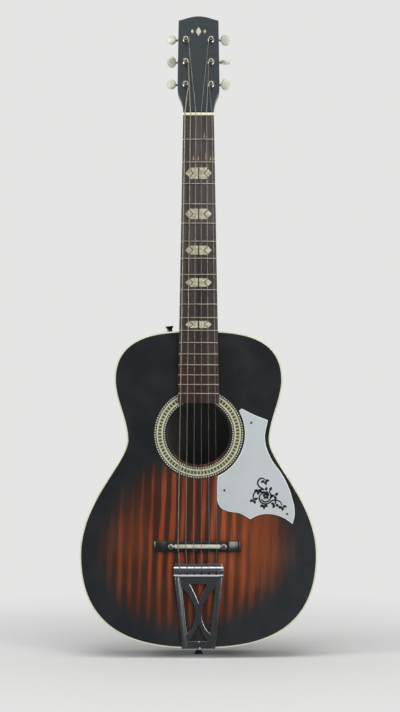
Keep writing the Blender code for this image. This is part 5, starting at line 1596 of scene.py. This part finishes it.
def make_tuners():
    matrix = head_matrix()
    for side, sign in SIDES.items():
        for place, rest in enumerate(KEY_REST[side]):
            x, height = sign * TUNER_X, tuner_height(place)
            label = f"{side}_{place + 1}"
            key, post = f"tuner_key_{label}", f"tuner_post_{label}"
            key_place = matrix @ shift(x, height + AXES_APART, -WORM_DEPTH)
            key_place = key_place @ spin(rest, "X")
            post_place = matrix @ shift(x, height, 0)
            turned_post = post_place @ spin(rest / TEETH, "Z")
            screw = screw_form("gear")
            screw.transform(shift(0, 0, -WORM_DEPTH - GEAR_THICKNESS / 2) @ spin(180, "X"))
            button = button_form(sign)
            add_tuner_piece(f"worm_shaft_{label}", worm_form(sign), key_place, "tuner_metal", key, [key])
            add_tuner_piece(f"tuner_button_{label}", button, key_place, "tuner_button_plastic", key, [key])
            add_post(f"string_post_{label}", post_form(), turned_post, post)
            add_tuner_piece(f"tuner_gear_{label}", gear_form(), turned_post, "gear_brass", post, [post])
            add_tuner_piece(f"gear_screw_{label}", screw, turned_post, "bolt_steel", post)
            add_tuner_piece(f"post_ferrule_{label}", ferrule_form(), post_place, "tuner_metal", "body")
        make_tuner_plate(side, sign)


def add_post(name, bm, place, body):
    """A post whose dimpled top is painted dark, as painted shade in the recess."""
    mesh = mesh_of(bm)
    for face in mesh.polygons:
        across = face.center.xy.length
        # The dimple's faces take the painted shade.
        face.material_index = int(face.center.z > POST_TOP - 0.001 and across < DIMPLE_RADIUS)
    mesh.transform(place)
    add_piece(name, mesh, ["tuner_metal", "post_dimple"], body, [body])


def add_tuner_piece(name, bm, place, finish, body, instead_of=()):
    bm.transform(place)
    angle = 50 if "button" in name else 35
    slot = "tuner_metal" if "gear" in name else None
    add_piece(name, mesh_of(bm, angle), finish, body, instead_of, slot)


PLATE_SCREWS = (-0.0090, 0.0215, 0.0560, 0.0865)  # up from the lowest post
PLATE_SCREW_X = 0.0045
PLATE_SCREW_TURN = 1.3  # from one slot to the next, in radians


def make_tuner_plate(side, sign):
    """A strip behind the head, with bent ears round each worm and four small screws."""
    middle, face = sign * TUNER_X, -HEAD_THICKNESS - GAP
    low, high = tuner_height(0) - STRIP_BELOW, tuner_height(2) + STRIP_ABOVE
    half, cut = STRIP_WIDTH / 2, 0.003
    outline = [(half, low + cut), (half, high - cut), (half - cut, high), (cut - half, high)]
    outline += [(-half, high - cut), (-half, low + cut), (cut - half, low), (half - cut, low)]
    strip = plate([[(middle + x, y, "line") for x, y in outline]], STRIP_THICKNESS, 0.00035)
    strip.transform(shift(0, 0, face - STRIP_THICKNESS / 2))
    forms = [strip]
    for place in range(3):
        worm = tuner_height(place) + AXES_APART
        for x in (middle - EAR_X, middle + EAR_X):
            forms.append(ear_form(x, worm, face))
    mesh = mesh_of(joined(forms))
    mesh.transform(head_matrix())
    name = f"tuner_plate_{side}"
    add_piece(f"tuner_strip_{side}", mesh, "tuner_metal", instead_of=[name])
    for number, up in enumerate(PLATE_SCREWS, 1):
        screw = screw_form("plate")
        seat = (middle + sign * PLATE_SCREW_X, tuner_height(0) + up, face - STRIP_THICKNESS)
        turn = Matrix.Rotation(PLATE_SCREW_TURN * number, 4, "Z")
        screw.transform(head_matrix() @ Matrix.Translation(seat) @ spin(180, "X") @ turn)
        add_piece(f"plate_screw_{side}_{number}", mesh_of(screw), "bolt_steel")


def ear_form(x, worm, face):
    """A bent ear: a tab with a round end, about the key's axis."""
    half, reach = EAR_THICKNESS / 2, EAR_REACH
    foot, middle = face - STRIP_THICKNESS / 2, -WORM_DEPTH + 0.0002
    side = [(worm + reach, foot)]
    for angle in np.linspace(0, math.pi, 17):
        side.append((worm + reach * math.cos(angle), middle - reach * 0.9 * math.sin(angle)))
    side.append((worm - reach, foot))
    return loft([[(x + step, y, z) for y, z in side] for step in (-half, half)])


# Strings


def string_route(number):
    """The string's middle line: from the tailpiece over the roll, saddle and nut and round its post."""
    lift = (STRING_DIAMETERS[number] + GAP) / 2
    side, place = STRING_POSTS[number]
    bar_x = string_x(number, STRINGS_AT_BAR, BRIDGE_X / 2)
    saddle_x = string_x(number, STRINGS_AT_SADDLE, BRIDGE_X)
    nut_x = string_x(number, STRINGS_AT_NUT)
    roll_y = FRONT_Y - ROLL_HEIGHT - lift - GAP / 2
    points = [Vector((bar_x, FRONT_Y - 0.0066, BAR_LOW_Z + 0.0046))]
    points += [Vector((bar_x, roll_y, ROLL_Z + step * ROLL_RADIUS / 2)) for step in (-1, 1)]
    points.append(Vector((saddle_x, SADDLE_TOP_Y - lift, SADDLE_Z)))
    points += [Vector((nut_x, NUT_SLOT_Y - lift, z)) for z in (NUT_Z, NUT_Z + NUT_THICKNESS)]
    return points, points[-1], SIDES[side] * TUNER_X, tuner_height(place)


def post_wraps(number, nut_point, post_x, post_height):
    """Turns round the post in the head's frame, entered on its inner side and climbing from the face."""
    radius = STRING_DIAMETERS[number] / 2
    reach = POST_WAIST + 0.0003 + radius
    way = 1 if post_x < 0 else -1
    start = head_matrix().inverted() @ nut_point
    to_post = Vector((post_x, post_height)) - start.xy
    heading = math.atan2(to_post.y, to_post.x) - way * math.asin(reach / to_post.length)
    first = heading - way * math.pi / 2
    climb = STRING_DIAMETERS[number] + WRAP_GAP
    wraps = []
    for i in range(int(WRAP_TURNS[number] * WRAP_POINTS) + 1):
        share = i / WRAP_POINTS
        angle = first + way * 2 * math.pi * share
        across, up = post_x + reach * math.cos(angle), post_height + reach * math.sin(angle)
        wraps.append(Vector((across, up, WRAP_START + radius + climb * share)))
    return wraps


def make_strings():
    matrix = head_matrix()
    for number, diameter in enumerate(STRING_DIAMETERS):
        points, nut_point, post_x, post_height = string_route(number)
        wraps = post_wraps(number, nut_point, post_x, post_height)
        finish = STRING_WIRES[number]
        slot = finish.removesuffix("_fine")
        route = points + [matrix @ point for point in wraps]
        mesh = mesh_of(tube(route, diameter / 2, 12), 80)
        solid = f"string_{number + 1}"
        add_piece(f"guitar_{solid}", mesh, finish, instead_of=[solid], slot=slot)
        make_string_end(number, post_x, post_height, finish)
        make_ball_end(number, points[0])


STRING_END_CURLS = (100, 70, 125, 60, 150, 85)  # degrees round the post, by string


def make_string_end(number, post_x, post_height, finish):
    """The cut end that comes out of the post's hole and curls back round its top."""
    side, place = STRING_POSTS[number]
    rest = math.radians(KEY_REST[side][place]) / TEETH
    run = [(0, -0.0015, POST_HOLE_Z), (0, 0.0026, POST_HOLE_Z), (0, 0.0033, POST_HOLE_Z + 0.0001)]
    turn = math.radians(STRING_END_CURLS[number]) * SIDES[side]
    for share in np.linspace(0.12, 1, 12):
        angle, reach = math.pi / 2 - turn * share, 0.0034 + 0.0012 * share
        run.append((reach * math.cos(angle), reach * math.sin(angle), POST_HOLE_Z + 0.0014 * share))
    form = tube(rounded(run, 1), min(STRING_DIAMETERS[number] / 2, 0.0005), 8)
    form.transform(head_matrix() @ shift(post_x, post_height, 0) @ Matrix.Rotation(rest, 4, "Z"))
    add_piece(f"string_end_{number + 1}", mesh_of(form, 80), finish, f"tuner_post_{side}_{place + 1}")


BALL_PROFILE = mm((0.6, -1.3), (1.3, -1.3), (1.1, -0.6), (1.1, 0.6), (1.3, 1.3), (0.6, 1.3))


def make_ball_end(number, anchor):
    """The small barrel at the string's tail end, inside its hole in the bar."""
    form = turned_ring(BALL_PROFILE, 20)
    form.transform(Matrix.Translation(anchor + Vector((0, 0.0004, 0.0002))) @ spin(90, "Y"))
    add_piece(f"ball_end_{number + 1}", mesh_of(form), "ball_end")


# Studio


CAMERA = (0.0021, FRONT_Y - 3.0, 0.433)
LENS = 105.9
ROOM_LIGHT = 0.42
SKY = (0.98, 0.99, 1.0)
BACKDROP = (0.780, 0.785, 0.775)
FLOOR = (0.86, 0.86, 0.85)
FLOOR_FADE = (0.20, 0.85)
FLAG = ((-0.064, 0.0015), (-2.80, 0.0015), (-2.90, 0.10), (-2.90, 1.30))  # (y, z) of a dark card
FLAG_SIDES = (-3.2, 1.60)
LAMPS = (  # place, the height that it faces, size, power and colour
    ("left softbox", (-2.9, -1.3, 1.2), 0.42, (1.2, 1.8), 38, (1, 1, 1)),
    ("right softbox", (1.75, -2.0, 0.75), 0.42, (0.8, 1.8), 30, (1, 0.98, 0.96)),
    ("top softbox", (0, -0.7, 2.5), 0.2, (1.8, 1.2), 18, (1, 1, 1)),
)


def strip_mesh(profile, sides):
    bm = bmesh.new()
    rows = [[bm.verts.new((x, y, z)) for x in sides] for y, z in profile]
    for a, b in zip(rows, rows[1:]):
        bm.faces.new((a[0], a[1], b[1], b[0]))
    return mesh_of(bm, 60)


def seen_rays(tree):
    """1 for the rays that show a background: straight, mirrored or through glass."""
    path = add_node(tree, "LightPath").outputs
    kinds = (Value(tree, path[f"Is {kind} Ray"]) for kind in ("Camera", "Glossy", "Transmission"))
    return reduce(Value.at_least, kinds)


def make_floor():
    """A pale floor that keeps the shadow near the object and melts into the backdrop further out."""
    bm = bmesh.new()
    bmesh.ops.create_circle(bm, cap_ends=True, segments=96, radius=9)
    f = Finish("floor_paper", FLOOR, 0.9, sockets={"Specular IOR Level": 0.1})
    fibre = f.noise(40, detail=4).spread(0.3, 0.7, 0.0, 0.5)
    f.link("Base Color", f.mix(fibre, FLOOR, tuple(0.98 * c for c in FLOOR)))
    far = f.x.beside(f.y).spread(*FLOOR_FADE) * seen_rays(f.tree)
    glow = add_node(f.tree, "Emission", {"Color": (*BACKDROP, 1), "Strength": 1.0}).outputs[0]
    blend = add_node(f.tree, "MixShader", {0: far, 1: f.shader.outputs[0], 2: glow}).outputs[0]
    f.tree.links.new(blend, f.tree.nodes["Material Output"].inputs["Surface"])
    add_stage("floor", mesh_of(bm), f.material)


def make_flag():
    f = Finish("flag_cloth", (0.06, 0.06, 0.065), 1.0, sockets={"Specular IOR Level": 0.0})
    flag = add_stage("flag", strip_mesh(FLAG, FLAG_SIDES), f.material)
    flag.visible_camera = flag.visible_diffuse = flag.visible_shadow = False


def add_stage(name, mesh, material):
    piece = placed(name, mesh)
    mesh.materials.append(material)
    return piece


def add_lamp(name, place, target_z, size, power, colour):
    data = bpy.data.lights.new(name, "AREA")
    data.shape = "RECTANGLE"
    data.size, data.size_y = size
    data.energy = power
    data.color = colour
    lamp = placed(name, data)
    lamp.location = place
    lamp.rotation_euler = (Vector((0, 0, target_z)) - Vector(place)).to_track_quat("-Z", "Y").to_euler()


def make_world():
    """A pale room, seen at one level and lighting the object at another."""
    world = bpy.data.worlds.new("studio")
    world.use_nodes = True
    bpy.context.scene.world = world
    tree = world.node_tree
    seen = add_node(tree, "Background", {"Color": (*BACKDROP, 1), "Strength": 1.0}).outputs[0]
    light = add_node(tree, "Background", {"Color": (*SKY, 1), "Strength": ROOM_LIGHT}).outputs[0]
    blend = add_node(tree, "MixShader", {0: seen_rays(tree), 1: light, 2: seen}).outputs[0]
    tree.links.new(blend, tree.nodes["World Output"].inputs["Surface"])


def make_studio():
    make_floor()
    make_flag()
    make_world()
    for lamp in LAMPS:
        add_lamp(*lamp)
    camera = placed("camera", bpy.data.cameras.new("camera"))
    camera.location = CAMERA
    camera.rotation_euler = (math.pi / 2, 0, 0)
    camera.data.lens = LENS
    camera.data.clip_end = 60
    bpy.context.scene.camera = camera
    bpy.context.scene.view_settings.view_transform = "Standard"


INNER_NODES = ("neck_block", "tail_block", "upper_brace", "lower_brace", "bridge_plate")


def main():
    for name in INNER_NODES:
        node = frame["nodes"][name]
        node.data.materials.clear()
        node.data.materials.append(FINISHES["inner_wood"].material)
    make_soundboard()
    make_rosette()
    make_binding()
    make_rib("bass")
    make_rib("treble")
    make_back()
    make_linings()
    make_neck()
    make_fretboard()
    make_frets()
    make_nut()
    make_markers()
    make_bridge()
    make_saddle()
    make_bolts()
    make_tailpiece()
    make_tab_screws()
    make_strap_buttons()
    make_pickguard()
    make_ornament()
    make_head_inlay()
    make_tuners()
    make_strings()
    make_studio()


main()
